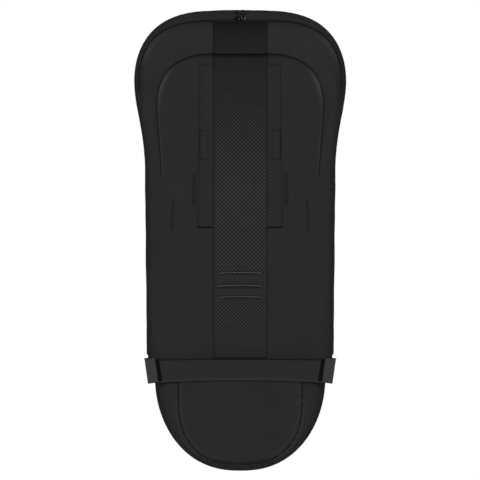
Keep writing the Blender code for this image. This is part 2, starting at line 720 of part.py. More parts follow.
def zip_line():
    """Zip path from the right end over the hood to the left end, with its inward normals."""
    start = FOLD_HEIGHT + ZIP_END_GAP
    sides = [(back_half_width(z), z) for z in steps(start, HOOD_CENTRE, SIDE_STEPS)]
    right = sides + hood_arc(SEAM_HALF_WIDTH, SEAM_RISE)
    path = right + [(-x, z) for x, z in reversed(right[:-1])]
    below = (back_half_width(BACK_HEM), BACK_HEM)
    normals = inward([below] + path + [(-below[0], below[1])])[1:-1]
    return [(Vector(point), normal) for point, normal in zip(path, normals)]


def zip_strip(outside, thickness, near, far):
    """Flat strip along the zip, from one depth to another."""
    rings = []
    for point, normal in zip_line():
        section = []
        for inset, depth in ((outside, near), (outside, far), (outside + thickness, far), (outside + thickness, near)):
            place = point + normal * inset
            section.append(Vector((place.x, depth, place.y)))
        rings.append(section)
    return loft(rings)


def zip_pieces(root, finishes):
    """Tape and coil of the zip on the back panel and on the cover."""
    axis = (0.0, COVER_DEPTH + FOLD_PIVOT_OUT, FOLD_HEIGHT)
    tape_inset = (COIL_THICKNESS - TAPE_THICKNESS) / 2
    halves = (("back", TAPE_BACK_EDGE, COIL_BACK_EDGE, (0, 0, 0)), ("cover", TAPE_COVER_EDGE, COIL_COVER_EDGE, axis))
    for name, tape_edge, coil_edge, pivot in halves:
        tape = zip_strip(tape_inset, TAPE_THICKNESS, tape_edge, tape_edge + TAPE_WIDTH)
        add(f"zip_tape_{name}", tape, finishes["tape"], root, pivot)
        coil = zip_strip(-COIL_PROUD, COIL_THICKNESS, coil_edge, coil_edge + COIL_WIDTH)
        add(f"zip_coil_{name}", coil, finishes["coil"], root, pivot)


def slider_pieces(root, finishes):
    """Two zip sliders, nose to nose at the top of the hood, with their pulls."""
    plate_low = HOOD_CENTRE + SEAM_RISE + COIL_PROUD + SLIDER_CLEARANCE
    plate_high = plate_low + SLIDER_THICKNESS
    axle_height = plate_high + KNUCKLE_RADIUS + 2 * GAP
    for name, side in (("left", -1), ("right", 1)):
        middle = side * (SLIDER_SPACING + SLIDER_LENGTH) / 2
        pivot = (middle, ZIP_MIDDLE, plate_low)
        half = Vector((SLIDER_LENGTH / 2, SLIDER_WIDTH / 2, 0.0))
        low = Vector((middle, ZIP_MIDDLE, plate_low)) - half
        high = Vector((middle, ZIP_MIDDLE, plate_high)) + half
        slider = add(f"zip_slider_{name}", block(low, high), finishes["metal"], root, pivot)
        crown = crown_mesh(middle, plate_high, axle_height)
        cut(slider, hide_tool(add(f"crown_{name}", crown, finishes["metal"], root)), "UNION")
        add_pull(f"zip_pull_{name}", root, finishes, (middle, ZIP_MIDDLE, axle_height))


def crown_mesh(middle, plate_high, axle_height):
    """Arch on a slider whose bar carries the pull."""
    reach = SLIDER_LENGTH / 2 - CROWN_BAR / 2
    foot = plate_high - SLIDER_THICKNESS / 2
    top = axle_height + CROWN_BAR / 2
    inside = reach - CROWN_BAR
    profile = [(-reach, foot), (-reach, top), (reach, top), (reach, foot)]
    profile += [(inside, foot), (inside, top - CROWN_BAR), (-inside, top - CROWN_BAR), (-inside, foot)]
    sides = (ZIP_MIDDLE - CROWN_BAR / 2, ZIP_MIDDLE + CROWN_BAR / 2)
    return loft([[Vector((middle + x, y, z)) for x, z in profile] for y in sides])


def barrel(radius, length, place):
    """Round bar along X."""
    turns = [2 * math.pi * k / (2 * TUBE_SIDES) for k in range(2 * TUBE_SIDES)]
    ends = (place[0] - length / 2, place[0] + length / 2)
    circle = [(radius * math.cos(t), radius * math.sin(t)) for t in turns]
    return loft([[Vector((x, place[1] + y, place[2] + z)) for y, z in circle] for x in ends])


def add_pull(name, root, finishes, place):
    """Zip pull: a knuckle round the slider's bar and a tongue leaning on the hood's rim."""
    pull = add(name, barrel(KNUCKLE_RADIUS, PULL_WIDTH, place), finishes["metal"], root, place)
    start = (KNUCKLE_RADIUS + KNUCKLE_BORE) / 2
    lean = Matrix.Rotation(-PULL_LEAN, 3, "X")
    rings = []
    rounding = PULL_WIDTH / 4
    for reach, width in ((start, 0.8), (PULL_LENGTH - rounding, 1.0), (PULL_LENGTH, 0.6)):
        across = PULL_WIDTH * width / 2
        through = PULL_THICKNESS / 2
        corners = ((-across, -through), (across, -through), (across, through), (-across, through))
        rings.append([lean @ Vector((x, y, reach)) + Vector(place) for x, y in corners])
    cut(pull, hide_tool(add(f"{name}_tongue", loft(rings), finishes["metal"], root)), "UNION")
    bore = barrel(KNUCKLE_BORE, 2 * PULL_WIDTH, place)
    cut(pull, hide_tool(add(f"{name}_bore", bore, finishes["metal"], root)))


def main():
    """Build the footmuff under one empty, hung by its backrest pocket."""
    for old in list(bpy.data.objects):
        bpy.data.objects.remove(old, do_unlink=True)
    finishes = {
        "softshell": material("softshell", (0.023, 0.023, 0.023), 0.75),
        "wadding": material("wadding", (0.60, 0.60, 0.58), 0.95),
        "fleece": material("fleece", (0.045, 0.045, 0.048), 0.98),
        "grip": material("grip_fabric", (0.017, 0.017, 0.017), 0.70),
        "loop_tape": material("loop_tape", (0.022, 0.022, 0.022), 0.92),
        "binding": material("binding", (0.016, 0.016, 0.016), 0.80),
        "elastic": material("elastic", (0.023, 0.023, 0.023), 0.72),
        "webbing": material("webbing", (0.041, 0.041, 0.041), 0.68),
        "tape": material("zip_tape", (0.018, 0.018, 0.018), 0.85),
        "coil": material("zip_coil", (0.012, 0.012, 0.012), 0.40),
        "metal": material("blackened_metal", (0.030, 0.030, 0.032), 0.35, 0.9),
    }
    root = bpy.data.objects.new("footmuff", None)
    root.location = (0.0, 0.0, -POCKET_MOUTH)
    bpy.context.collection.objects.link(root)
    layers = back_pieces(root, finishes)
    pocket_pieces(root, finishes)
    strip, _ = strip_and_patch(root, finishes)
    slot_pieces(root, finishes, layers, strip)
    strap_pieces(root, finishes)
    foot_pieces(root, finishes)
    cover_pieces(root, finishes)
    zip_pieces(root, finishes)
    slider_pieces(root, finishes)


main()
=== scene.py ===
# %% [markdown]
# # A pushchair footmuff, dressed over its CAD frame
# A footmuff is a padded sack for a pushchair seat: a back panel that lies on the seat, a zip-off cover in
# front and a round pouch for the feet. The CAD model holds its sizes and joints, and this lesson makes its
# cloth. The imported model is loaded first, because every later piece takes its place from it.

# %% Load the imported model
import math

import bmesh
import bpy
import numpy as np
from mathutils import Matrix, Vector


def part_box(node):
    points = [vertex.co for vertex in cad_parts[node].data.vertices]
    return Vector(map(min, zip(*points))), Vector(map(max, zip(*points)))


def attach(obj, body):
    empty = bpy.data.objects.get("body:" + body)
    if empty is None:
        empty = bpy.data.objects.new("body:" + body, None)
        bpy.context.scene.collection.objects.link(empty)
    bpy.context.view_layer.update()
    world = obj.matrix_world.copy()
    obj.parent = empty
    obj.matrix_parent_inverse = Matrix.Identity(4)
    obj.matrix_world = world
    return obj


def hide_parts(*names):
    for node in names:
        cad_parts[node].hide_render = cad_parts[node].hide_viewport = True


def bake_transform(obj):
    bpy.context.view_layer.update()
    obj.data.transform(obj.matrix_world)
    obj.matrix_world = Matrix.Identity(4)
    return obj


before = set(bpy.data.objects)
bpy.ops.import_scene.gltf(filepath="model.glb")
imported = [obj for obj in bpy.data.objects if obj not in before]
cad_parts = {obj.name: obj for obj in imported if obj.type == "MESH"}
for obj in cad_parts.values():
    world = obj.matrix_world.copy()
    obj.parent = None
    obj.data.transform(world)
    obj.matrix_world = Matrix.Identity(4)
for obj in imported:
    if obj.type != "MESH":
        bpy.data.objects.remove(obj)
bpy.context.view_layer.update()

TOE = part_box("foot_shell")[0].z

# %% [markdown]
# ## Camera
# The photograph looks straight at the footmuff's back. A long lens from far away keeps the outline as flat
# as it is in the picture. One pixel of the 480 pixel frame is a fixed length on the object, so the distance
# follows from the lens.

# %% Camera straight behind the back panel
FRAME_PIXELS = 480
PIXEL = 1.0 / 460
LENS = 900.0
SENSOR = 36.0
VIEW_SIDE = -PIXEL / 5
VIEW_DEPTH = 0.04
VIEW_HEIGHT = 0.501

camera_data = bpy.data.cameras.new("photo_camera")
camera_data.lens = LENS
camera_data.sensor_width = SENSOR
camera_data.clip_end = 200.0
camera = bpy.data.objects.new("photo_camera", camera_data)
distance = FRAME_PIXELS * PIXEL * LENS / SENSOR
camera.location = (VIEW_SIDE, VIEW_DEPTH - distance, TOE + VIEW_HEIGHT)
camera.rotation_euler = (math.pi / 2, 0.0, 0.0)
bpy.context.collection.objects.link(camera)
bpy.context.scene.camera = camera
bpy.context.scene.view_settings.view_transform = "Standard"
print("camera", round(distance, 3), "m away")

# %% [markdown]
# ## Sums on sockets
# A finish is a net of small sums: waves for threads, noise for wear. Linking Math nodes by hand is slow to
# read, so one class wraps a socket and lets Python's own signs add the nodes. A second class holds one
# material while it is made.

# %% A socket that takes part in sums, and a finish that makes nodes
class Wire:
    """One output socket of a material, on which sums are written."""

    def __init__(self, finish, socket):
        self.finish = finish
        self.socket = socket

    def math(self, operation, *values):
        return self.finish.node("ShaderNodeMath", {"operation": operation}, dict(enumerate(values)))

    def __add__(self, other):
        return self.math("ADD", self, other)

    __radd__ = __add__

    def __sub__(self, other):
        return self.math("SUBTRACT", self, other)

    def __mul__(self, other):
        return self.math("MULTIPLY", self, other)

    def wave(self):
        """Sine of the value."""
        return self.math("SINE", self)


class Finish:
    """A procedural material under construction."""

    def __init__(self, name, **constants):
        self.material = bpy.data.materials.new(name)
        self.material.use_nodes = True
        self.tree = self.material.node_tree
        self.shader = self.tree.nodes["Principled BSDF"]
        for socket, value in constants.items():
            self.shader.inputs[socket.replace("_", " ").title().replace("Ior", "IOR")].default_value = value
        place = self.node("ShaderNodeTexCoord", output="Object")
        self.place = place
        self.x, self.y, self.z = (self.node("ShaderNodeSeparateXYZ", None, {0: place}, k) for k in range(3))

    def node(self, kind, settings=None, inputs=None, output=0):
        """Add one node: its settings first, then its sockets' values or links."""
        made = self.tree.nodes.new(kind)
        for key, value in (settings or {}).items():
            if key == "stops":
                self.set_stops(made.color_ramp, value)
            else:
                setattr(made, key, value)
        for key, value in (inputs or {}).items():
            self.feed(made.inputs[key], value)
        return Wire(self, made.outputs[output])

    @staticmethod
    def set_stops(ramp, stops):
        """Give a colour ramp its (place, grey) stops."""
        while len(ramp.elements) < len(stops):
            ramp.elements.new(1.0)
        for element, (place, grey) in zip(ramp.elements, stops):
            element.position = place
            element.color = (grey, grey, grey, 1.0)

    def feed(self, socket, value):
        """Link a wire to a socket, or set the socket's own value."""
        if isinstance(value, Wire):
            self.tree.links.new(value.socket, socket)
        else:
            socket.default_value = value

    def noise(self, scale, detail=2.0, roughness=0.5):
        """Cloudy noise from 0 to 1 on the object's own coordinates, scale in cells per metre."""
        inputs = {"Vector": self.place, "Scale": scale, "Detail": detail, "Roughness": roughness}
        return self.node("ShaderNodeTexNoise", None, inputs)

    def blend(self, share, first, second):
        """Colour between two colours."""
        inputs = {"Factor": share, 6: (*first, 1.0), 7: (*second, 1.0)}
        return self.node("ShaderNodeMix", {"data_type": "RGBA", "clamp_factor": False}, inputs, 2)

    def by_height(self, stops):
        """Grey levels by height on the part: stops are (height above the toe, level)."""
        greys = [(height, grey(level)[0]) for height, level in stops]
        return self.node("ShaderNodeValToRGB", {"stops": greys}, {"Fac": self.z - TOE})

    def mottled(self, colour, share, depth):
        """Colour made darker and lighter by a share from 0 to 1."""
        speck = self.blend(share, (1.0 - depth,) * 3, (1.0 + depth,) * 3)
        return self.node("ShaderNodeMix", {"data_type": "RGBA", "blend_type": "MULTIPLY"},
                         {"Factor": 1.0, 6: colour, 7: speck}, 2)

    def done(self, colour, roughness, height, depth, strength=1.0):
        """Feed the shader: colour, roughness and a bump of the given depth in metres."""
        self.feed(self.shader.inputs["Base Color"], colour)
        self.feed(self.shader.inputs["Roughness"], roughness)
        bump = self.node("ShaderNodeBump", None, {"Strength": strength, "Distance": depth, "Height": height})
        self.feed(self.shader.inputs["Normal"], bump)
        return self.material


def grey(level):
    """Neutral colour for a brightness of 0 to 255 as the screen shows it."""
    share = level / 255
    linear = ((share + 0.055) / 1.055) ** 2.4 if share > 0.04045 else share / 12.92
    return (linear, linear, linear)


print("sums and finishes ready")

# %% [markdown]
# ## Light, floor and background
# The picture is a catalogue shot: even light, a pure white ground and hardly a shadow. A dim world fills
# the shadows, and two wide lamps high on each side light the back and the front alike. The white is only
# what the camera and mirrors see of the world, so it adds no light to the dark cloth. The floor lies as far
# down as a pushchair seat is high, which leaves room for the cover to hang down when it is folded open.

# %% World, lamps and floor
WORLD_STRENGTH = 0.24
LAMP_DISTANCE = 3.2
LAMP_SIZE = 2.2
LAMP_POWER = 38.2
LAMP_SPOTS = {"behind": (0.25, -1.0, 0.25), "front": (0.30, 1.0, 0.4)}
MIDDLE_DEPTH = 0.05
FLOOR_DROP = 0.52
FLOOR_RADIUS = 1.2
FLOOR_PALE, FLOOR_PALER = (0.9,) * 3, (0.93,) * 3

world = bpy.data.worlds.new("studio")
bpy.context.scene.world = world
world.use_nodes = True
sky = world.node_tree
light_path = sky.nodes.new("ShaderNodeLightPath")
seen = sky.nodes.new("ShaderNodeMath")
seen.operation = "ADD"
sky.links.new(light_path.outputs["Is Camera Ray"], seen.inputs[0])
sky.links.new(light_path.outputs["Is Glossy Ray"], seen.inputs[1])
shown = sky.nodes.new("ShaderNodeMath")
shown.operation = "ADD"
shown.use_clamp = True
sky.links.new(seen.outputs[0], shown.inputs[0])
sky.links.new(light_path.outputs["Is Transmission Ray"], shown.inputs[1])
strength = sky.nodes.new("ShaderNodeMapRange")
strength.inputs["To Min"].default_value = WORLD_STRENGTH
strength.inputs["To Max"].default_value = 1.0
sky.links.new(shown.outputs[0], strength.inputs["Value"])
ground = sky.nodes["Background"]
ground.inputs["Color"].default_value = (1.0, 1.0, 1.0, 1.0)
sky.links.new(strength.outputs["Result"], ground.inputs["Strength"])


def lamp(name, direction):
    """Wide soft lamp that looks at the middle of the object."""
    data = bpy.data.lights.new(name, "AREA")
    data.shape = "SQUARE"
    data.size = LAMP_SIZE
    data.energy = LAMP_POWER
    made = bpy.data.objects.new(name, data)
    middle = Vector((0.0, MIDDLE_DEPTH, TOE + VIEW_HEIGHT))
    made.location = middle + Vector(direction).normalized() * LAMP_DISTANCE
    made.rotation_euler = (middle - made.location).to_track_quat("-Z", "Y").to_euler()
    bpy.context.collection.objects.link(made)


for hand, side in (("left", -1.0), ("right", 1.0)):
    for spot, (out, back, up) in LAMP_SPOTS.items():
        lamp(f"lamp_{spot}_{hand}", (out * side, back, up))

floor_finish = Finish("pale_floor", roughness=0.9)
floor_colour = floor_finish.blend(floor_finish.noise(6.0), FLOOR_PALE, FLOOR_PALER)
floor_finish.feed(floor_finish.shader.inputs["Base Color"], floor_colour)
floor_mesh = bmesh.new()
bmesh.ops.create_circle(floor_mesh, cap_ends=True, radius=FLOOR_RADIUS, segments=128)
bmesh.ops.translate(floor_mesh, verts=floor_mesh.verts, vec=(0.0, MIDDLE_DEPTH, TOE - FLOOR_DROP))
floor_data = bpy.data.meshes.new("floor")
floor_mesh.to_mesh(floor_data)
floor_mesh.free()
floor_data.materials.append(floor_finish.material)
studio_floor = bpy.data.objects.new("floor", floor_data)
bpy.context.collection.objects.link(studio_floor)
print("studio ready")

# %% [markdown]
# ## Finishes
# Every surface here is cloth, thread, rubber or small hardware. Each finish has its own structure at its
# real pitch: crossed threads for the outer fabric, ribs for elastic, diagonals for webbing, tufts for
# fleece. Fine noise gives the flecks of the yarn and wide noise a little fading. The patterns read Object
# coordinates, so they stay put on the piece. Painted light is carried by a piece's points as an amount that
# the finish reads as an attribute: above 0 it lightens as a painted highlight, below 0 it darkens as
# painted shade.

# %% Cloth finishes
FULL_TURN = 2 * math.pi
POINTS_AT_ONCE = 1500


def painted_light_of(cloth):
    """Painted light of a place, as the points of a piece say: a painted highlight above 0, painted shade
    below 0.
    """
    return cloth.node("ShaderNodeAttribute", {"attribute_name": "rub"}, None, "Fac")


def softshell(name, level, pitch=0.0016):
    """Dull outer fabric with crossed threads and flecked yarn, lighter or darker where its piece carries
    painted light.
    """
    cloth = Finish(name, specular_ior_level=0.004)
    turn = FULL_TURN / pitch
    threads = ((cloth.x + cloth.y) * turn).wave() * (cloth.z * turn).wave()
    fleck = cloth.noise(1300.0, 1.0)
    cloud = cloth.noise(11.0, 4.0)
    # Painted highlights and painted shade from the piece's points shift the grey.
    colour = cloth.blend(fleck * 0.6 + cloud * 0.4 + painted_light_of(cloth), grey(level - 8), grey(level + 8))
    return cloth.done(colour, 0.70 + fleck * 0.2, threads * 0.5 + fleck, 0.0004, 0.6)


def set_painted_light(made, amounts):
    """Give a piece its painted highlights and painted shade, one amount for each point of its mesh."""
    rub = made.data.attributes.new("rub", "FLOAT", "POINT")
    rub.data.foreach_set("value", np.asarray(amounts, np.float32))


def mesh_points(made):
    """Points of a finished piece, at heights above the toe."""
    flat = np.empty(len(made.data.vertices) * 3)
    made.data.vertices.foreach_get("co", flat)
    return flat.reshape(-1, 3) - (0.0, 0.0, TOE)


def distance_to(line, points):
    """Distance of each point from the nearest of a flat line's points, seen from behind."""
    parts = np.array_split(points[:, [0, 2]], max(1, len(points) // POINTS_AT_ONCE))
    return np.concatenate([np.linalg.norm(part[:, None] - line[None], axis=2).min(axis=1) for part in parts])


def ribbed(name, level, rib, cross, contrast=9):
    """Narrow goods woven with ribs across and finer lines along, such as elastic."""
    cloth = Finish(name, specular_ior_level=0.05)
    across = (cloth.x * (FULL_TURN / rib)).wave()
    along = (cloth.z * (FULL_TURN / cross)).wave()
    fleck = cloth.noise(900.0, 2.0)
    # Painted light from the piece's points: a painted highlight above 0, painted shade below 0.
    share = across * 0.2 + along * 0.12 + fleck * 0.5 + 0.25 + painted_light_of(cloth)
    colour = cloth.blend(share, grey(level - contrast), grey(level + contrast))
    return cloth.done(colour, 0.68 + fleck * 0.2, across + along, 0.0002, 0.5)


def grip_cloth(name, stops):
    """Rubbery backing of the grip strip, its grey set by height, with painted shade towards the top."""
    cloth = Finish(name, specular_ior_level=0.03)
    fleck = cloth.noise(1500.0, 1.0)
    turn = FULL_TURN / 0.0012
    weave = (cloth.x * turn).wave() * (cloth.z * turn).wave()
    colour = cloth.mottled(cloth.by_height(stops), fleck, 0.2)
    return cloth.done(colour, 0.72 + fleck * 0.2, weave * 0.5 + fleck, 0.0003, 0.6)


def twill(name, level, pitch, contrast):
    """Webbing with the diagonal lines of a twill weave."""
    cloth = Finish(name, specular_ior_level=0.08)
    lean = ((cloth.x - cloth.z + cloth.y) * (FULL_TURN / pitch)).wave()
    yarn = ((cloth.x + cloth.z) * (2 * FULL_TURN / pitch)).wave()
    fleck = cloth.noise(240.0, 3.0)
    share = lean * 0.26 + yarn * 0.1 + fleck * 0.9 + 0.05
    colour = cloth.blend(share, grey(level - contrast), grey(level + contrast))
    return cloth.done(colour, 0.62 + fleck * 0.2, lean + yarn * 0.4, 0.0004)


def tufted(name, level, tuft, depth, contrast=10):
    """Napped cloth: fleece lining or the loops of a hook-and-loop tab."""
    cloth = Finish(name, specular_ior_level=0.04)
    nap = cloth.noise(1.0 / tuft, 4.0, 0.65)
    curl = cloth.noise(3.0 / tuft, 3.0, 0.7)
    colour = cloth.blend(nap * 0.6 + curl * 0.4, grey(level - contrast), grey(level + contrast))
    return cloth.done(colour, 0.85 + nap * 0.12, nap + curl * 0.6, depth)


OUTER = softshell("softshell", 43.7)
SOLE = softshell("softshell_sole", 43.5, 0.0019)
# The cover's softshell is a lighter copy of the same cloth: painted light that offsets the shade on its
# rolled rim.
COVER = softshell("softshell_cover_lightened", 46.5)
# Strip greys by height: paler in the middle, darker below, and darkest at the top, where painted shade
# follows the strip under the hood's rim.
GRIP_LEVELS_WITH_SHADE = [(0.25, 38), (0.45, 40.5), (0.62, 41), (0.80, 36),
               (0.905, 33), (0.935, 31), (0.964, 24), (0.976, 13)]
GRIP_BASE = grip_cloth("grip_fabric", GRIP_LEVELS_WITH_SHADE)
ELASTIC = ribbed("elastic", 42, 0.0018, 0.0027, 4)
ZIP_TAPE = ribbed("zip_tape", 22, 0.0012, 0.0016, 6)
BINDING = ribbed("binding", 31, 0.0014, 0.0014)
WEBBING = twill("webbing", 57, 0.0052, 22)
LOOP_TAPE = tufted("loop_tape", 42, 0.0016, 0.0006)
# Dark cloth for cords and rows along seams and edges: real seams whose darkness paints the shade lines beside
# them.
SEAM_AND_SHADE_LINE = ribbed("seam_binding_and_painted_shade", 22, 0.0014, 0.0014, 5)
# Nearly black cloth that paints shadow: beside the strap's ends and under the pocket's mouth across the
# strip.
PAINTED_SHADOW = ribbed("painted_shadow_cloth", 10, 0.0014, 0.0014, 4)
FLEECE = tufted("fleece", 58, 0.006, 0.0022, 14)
print("cloth finishes made")

# %% [markdown]
# Thread, rubber and metal are smoother than cloth. Thread has a twist, the rubber dots a faint mottling and
# painted shade towards the top of the strip, and the blackened zip hardware has bright specks that are worn
# metal and painted glints at once.

# %% Thread, rubber, coil and metal finishes
def thread(name, level, tint=(1.0, 1.0, 1.0)):
    """Sewing thread with its twist."""
    yarn = Finish(name, specular_ior_level=0.25)
    twist = ((yarn.x + yarn.z + yarn.y) * (FULL_TURN / 0.0007)).wave()
    fleck = yarn.noise(600.0, 2.0)
    dark, light = ([c * t for c, t in zip(grey(level + step), tint)] for step in (-10, 10))
    colour = yarn.blend(twist * 0.3 + fleck * 0.5 + 0.2, dark, light)
    return yarn.done(colour, 0.55 + fleck * 0.2, twist, 0.0001)


def rubber(name, stops):
    """Printed rubber dots, their grey set by height, with painted shade towards the top."""
    dots = Finish(name, specular_ior_level=0.12)
    patch = dots.noise(60.0, 3.0)
    grain = dots.noise(2500.0, 2.0)
    colour = dots.mottled(dots.by_height(stops), patch * 0.7 + grain * 0.3, 0.6)
    return dots.done(colour, 0.46 + grain * 0.15, grain, 0.0001)


def nylon_coil(name, level):
    """Plastic monofilament of a zip coil."""
    coil = Finish(name, specular_ior_level=0.1)
    haze = coil.noise(350.0, 2.0)
    return coil.done(coil.blend(haze, grey(level - 6), grey(level + 8)), 0.34 + haze * 0.16, haze, 0.0001)


def blackened_metal(name):
    """Black zip hardware with bright specks that are bare metal and painted glints at once."""
    metal = Finish(name, metallic=1.0, specular_tint=(0.12, 0.12, 0.12, 1.0))
    rub = metal.noise(420.0, 5.0, 0.7)
    # Bright specks: worn metal and painted glints at once.
    wear_and_glint = metal.node("ShaderNodeValToRGB", {"stops": [(0.585, 0.0), (0.635, 1.0)]}, {"Fac": rub})
    colour = metal.blend(wear_and_glint, grey(9), grey(140))
    return metal.done(colour, 0.30 + rub * 0.2, rub, 0.00012)


DARK_THREAD = thread("dark_thread", 29)
BEIGE_THREAD = thread("beige_thread", 150, (1.0, 0.95, 0.80))
# The lower rows use a darker copy of the beige thread: painted shade under each crotch slit.
SHADED_BEIGE_THREAD = thread("beige_thread_in_painted_shade", 46, (1.0, 0.93, 0.76))
# Dot greys by height: brightest in the middle, darker below, and darkest at the top, where painted shade
# follows the strip under the hood's rim.
DOT_LEVELS_WITH_SHADE = [(0.25, 72), (0.45, 78), (0.62, 84), (0.80, 66), (0.93, 54), (0.985, 36)]
RUBBER = rubber("rubber_dots", DOT_LEVELS_WITH_SHADE)
COIL = nylon_coil("nylon_coil", 17)
METAL = blackened_metal("blackened_metal")
for node in ("zip_slider_left", "zip_slider_right", "zip_pull_left", "zip_pull_right"):
    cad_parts[node].data.materials.clear()
    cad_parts[node].data.materials.append(METAL)
print("hardware finishes made")

# %% [markdown]
# ## Outline
# All the big pieces share one outline: a round toe, nearly straight sides and a wide hood with squarish
# shoulders. The hood is a superellipse, which is rounder than a box and squarer than an ellipse. The
# greatest width, height and depth come from the CAD nodes' boxes. Heights run up from the toe here, and a
# piece is moved to the frame's height when its mesh is made.

# %% Outline of the footmuff
HOOD_HALF, FRONT_DEPTH, TOP = (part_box("cover_shell")[1][k] for k in range(3))
TOP -= TOE
SEAM_HALF, RIM, SEAM_TOP = (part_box("back_shell")[1][k] for k in range(3))
SEAM_TOP -= TOE
COVER_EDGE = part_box("cover_shell")[0].y
HOOD_RISE = 0.1532
HOOD_POWER, HOOD_RISE_POWER = 3.54, 2.07
SEAM_POWER, SEAM_RISE_POWER = 4.25, 2.0
HOOD_CENTRE = TOP - 0.1522
WAIST_HEIGHT, WAIST_HALF = 0.648, 0.2082
HEM_HEIGHT, HEM_HALF = 0.256, 0.2036
TOE_HALF, TOE_RISE = 0.1853, 0.1978
TOE_POWER, TOE_RISE_POWER = 2.33, 1.9
TOE_CENTRE = TOE_RISE - 0.0009
WIDEST_DEPTH = 0.060
DOME_POWER = 2.6
SEAM_INSET = 0.0035
SEAM_MERGE = HOOD_CENTRE - 0.1028
GROOVE = 0.0056
GROOVE_LENGTH = 0.08
POCKET_MOUTH = -TOE
POCKET_HALF = 0.1814
ARCH_TOP = POCKET_MOUTH + 0.003
ARCH_POWER, ARCH_RISE_POWER = 4.0, 2.0
ARCH_SAG = 0.12
POCKET_SHOULDER = POCKET_MOUTH - 0.1078
ARM_END = POCKET_SHOULDER - 0.1587
ARM_HALF = 0.172
POCKET_SKIN = 0.002
POCKET_REACH, POCKET_SINK = 0.0023, 0.0005
POCKET_SPACE = 0.010
TAPER_LENGTH = 0.143
ARM_ROWS = 60
ARCH_ROWS = 110
ARM_FADE = 0.05
SAG_START, SAG_LENGTH = 0.056, 0.06
MIRROR = (-1.0, 1.0)
NO_LENGTH = 1e-12


def ease(start, end, share):
    """Go from start to end with a level tangent at both."""
    share = np.clip(share, 0.0, 1.0)
    return start + (end - start) * share * share * (3 - 2 * share)


def fade(distance, width):
    """1 at no distance, falling to nothing within a few widths."""
    return np.exp(-((distance / width) ** 2))


def unit(vectors):
    """Vectors of the same directions with a length of 1."""
    return vectors / np.maximum(np.linalg.norm(vectors, axis=-1), NO_LENGTH)[..., None]


def superellipse(half, rise, power, angle, rise_power=None):
    """Points on a superellipse at angles measured up from +X; its rise may have a power of its own."""
    c, s = np.cos(angle), np.sin(angle)
    up = np.sign(s) * np.abs(s) ** (2 / (rise_power or power)) * rise
    return np.sign(c) * np.abs(c) ** (2 / power) * half, up


def half_width(z):
    """Half of the outline's width between the toe's curve and the hood's."""
    z = np.asarray(z, float)
    foot = ease(TOE_HALF, HEM_HALF, (z - TOE_CENTRE) / (HEM_HEIGHT - TOE_CENTRE))
    side = HEM_HALF + (WAIST_HALF - HEM_HALF) * (z - HEM_HEIGHT) / (WAIST_HEIGHT - HEM_HEIGHT)
    rise = np.clip((z - WAIST_HEIGHT) / (HOOD_CENTRE - WAIST_HEIGHT), 0.0, 1.0)
    hood = ease(WAIST_HALF, HOOD_HALF, rise**1.22) + (side - WAIST_HALF) * (1 - rise) ** 2
    return np.where(z < HEM_HEIGHT, foot, np.where(z < WAIST_HEIGHT, side, hood))


def seam_half_width(z, groove=0.0):
    """Half of the zip seam's width, less the groove between the zip and the back panel."""
    inset = ease(SEAM_INSET, HOOD_HALF - SEAM_HALF, (np.asarray(z) - SEAM_MERGE) / (HOOD_CENTRE - SEAM_MERGE))
    inset = inset + ease(0.0, groove, 1 - (HOOD_CENTRE - np.asarray(z)) / GROOVE_LENGTH)
    return half_width(np.maximum(z, HEM_HEIGHT)) - inset


def seam_hood(angle, groove=0.0):
    """The zip seam round the hood, as widths and heights, less the groove."""
    rise = SEAM_TOP - HOOD_CENTRE - groove
    x, up = superellipse(SEAM_HALF - groove, rise, SEAM_POWER, angle, SEAM_RISE_POWER)
    return x, HOOD_CENTRE + up


def travelled(points):
    """Distance gone along a line at each of its points."""
    return np.concatenate([[0.0], np.cumsum(np.linalg.norm(np.diff(points, axis=0), axis=1))])


def travelled_round(loop):
    """Distance gone round a closed line at the end of each of its steps."""
    return travelled(np.vstack([loop, loop[:1]]))[1:]


def even(points, count, closed=False):
    """Points spaced evenly along a polyline."""
    points = np.asarray(points, float)
    if closed:
        points = np.vstack([points, points[:1]])
    gone = travelled(points)
    at = np.linspace(0.0, gone[-1], count, endpoint=not closed)
    return np.column_stack([np.interp(at, gone, column) for column in points.T])


def inward(loop):
    """Unit normals that point into a closed anticlockwise outline."""
    along = unit(np.roll(loop, -1, axis=0) - np.roll(loop, 1, axis=0))
    return np.column_stack([-along[:, 1], along[:, 0]])


def mirrored(right):
    """Close a half outline whose first and last points lie on the middle line."""
    return np.vstack([right, (right[1:-1] * MIRROR)[::-1]])


def both_sides(right):
    """Run a half line whose last point lies on the middle line on down the other side."""
    return np.vstack([right, (right[:-1] * MIRROR)[::-1]])


def at_depth(line, depth):
    """Stand a flat line at a depth, which may differ from point to point."""
    return np.column_stack([line[:, 0], np.broadcast_to(depth, len(line)), line[:, 1]])


def back_side(low, groove=0.0):
    """Right edge of the zip seam, or of the panel inside it, from a height up to the middle of the hood."""
    z = np.linspace(low, HOOD_CENTRE, 120)
    x, hood_z = seam_hood(np.linspace(0.0, math.pi / 2, 200), groove)
    return np.column_stack([np.append(seam_half_width(z, groove), x[1:]), np.append(z, hood_z[1:])])


def pocket_reach(z):
    """How far the pocket's skin stands off the panel's face: it runs out flat at the arms' ends."""
    return ease(-POCKET_SINK, POCKET_REACH, (np.asarray(z) - ARM_END) / ARM_FADE)


def pocket_floor(z):
    """Depth of the pocket's outer face: close to the panel at the arms, standing off at the top."""
    return -pocket_reach(z) - ease(0.0, POCKET_SPACE, (z - ARM_END) / TAPER_LENGTH)


def arch_depth(arch):
    """Depth of the pocket's free edge: it sags on to the panel at the arch's corners."""
    stand = ease(1.0, ARCH_SAG, (np.abs(arch[:, 0]) - SAG_START) / SAG_LENGTH)
    reach = pocket_reach(arch[:, 1])
    return -reach + (pocket_floor(arch[:, 1]) + reach) * stand


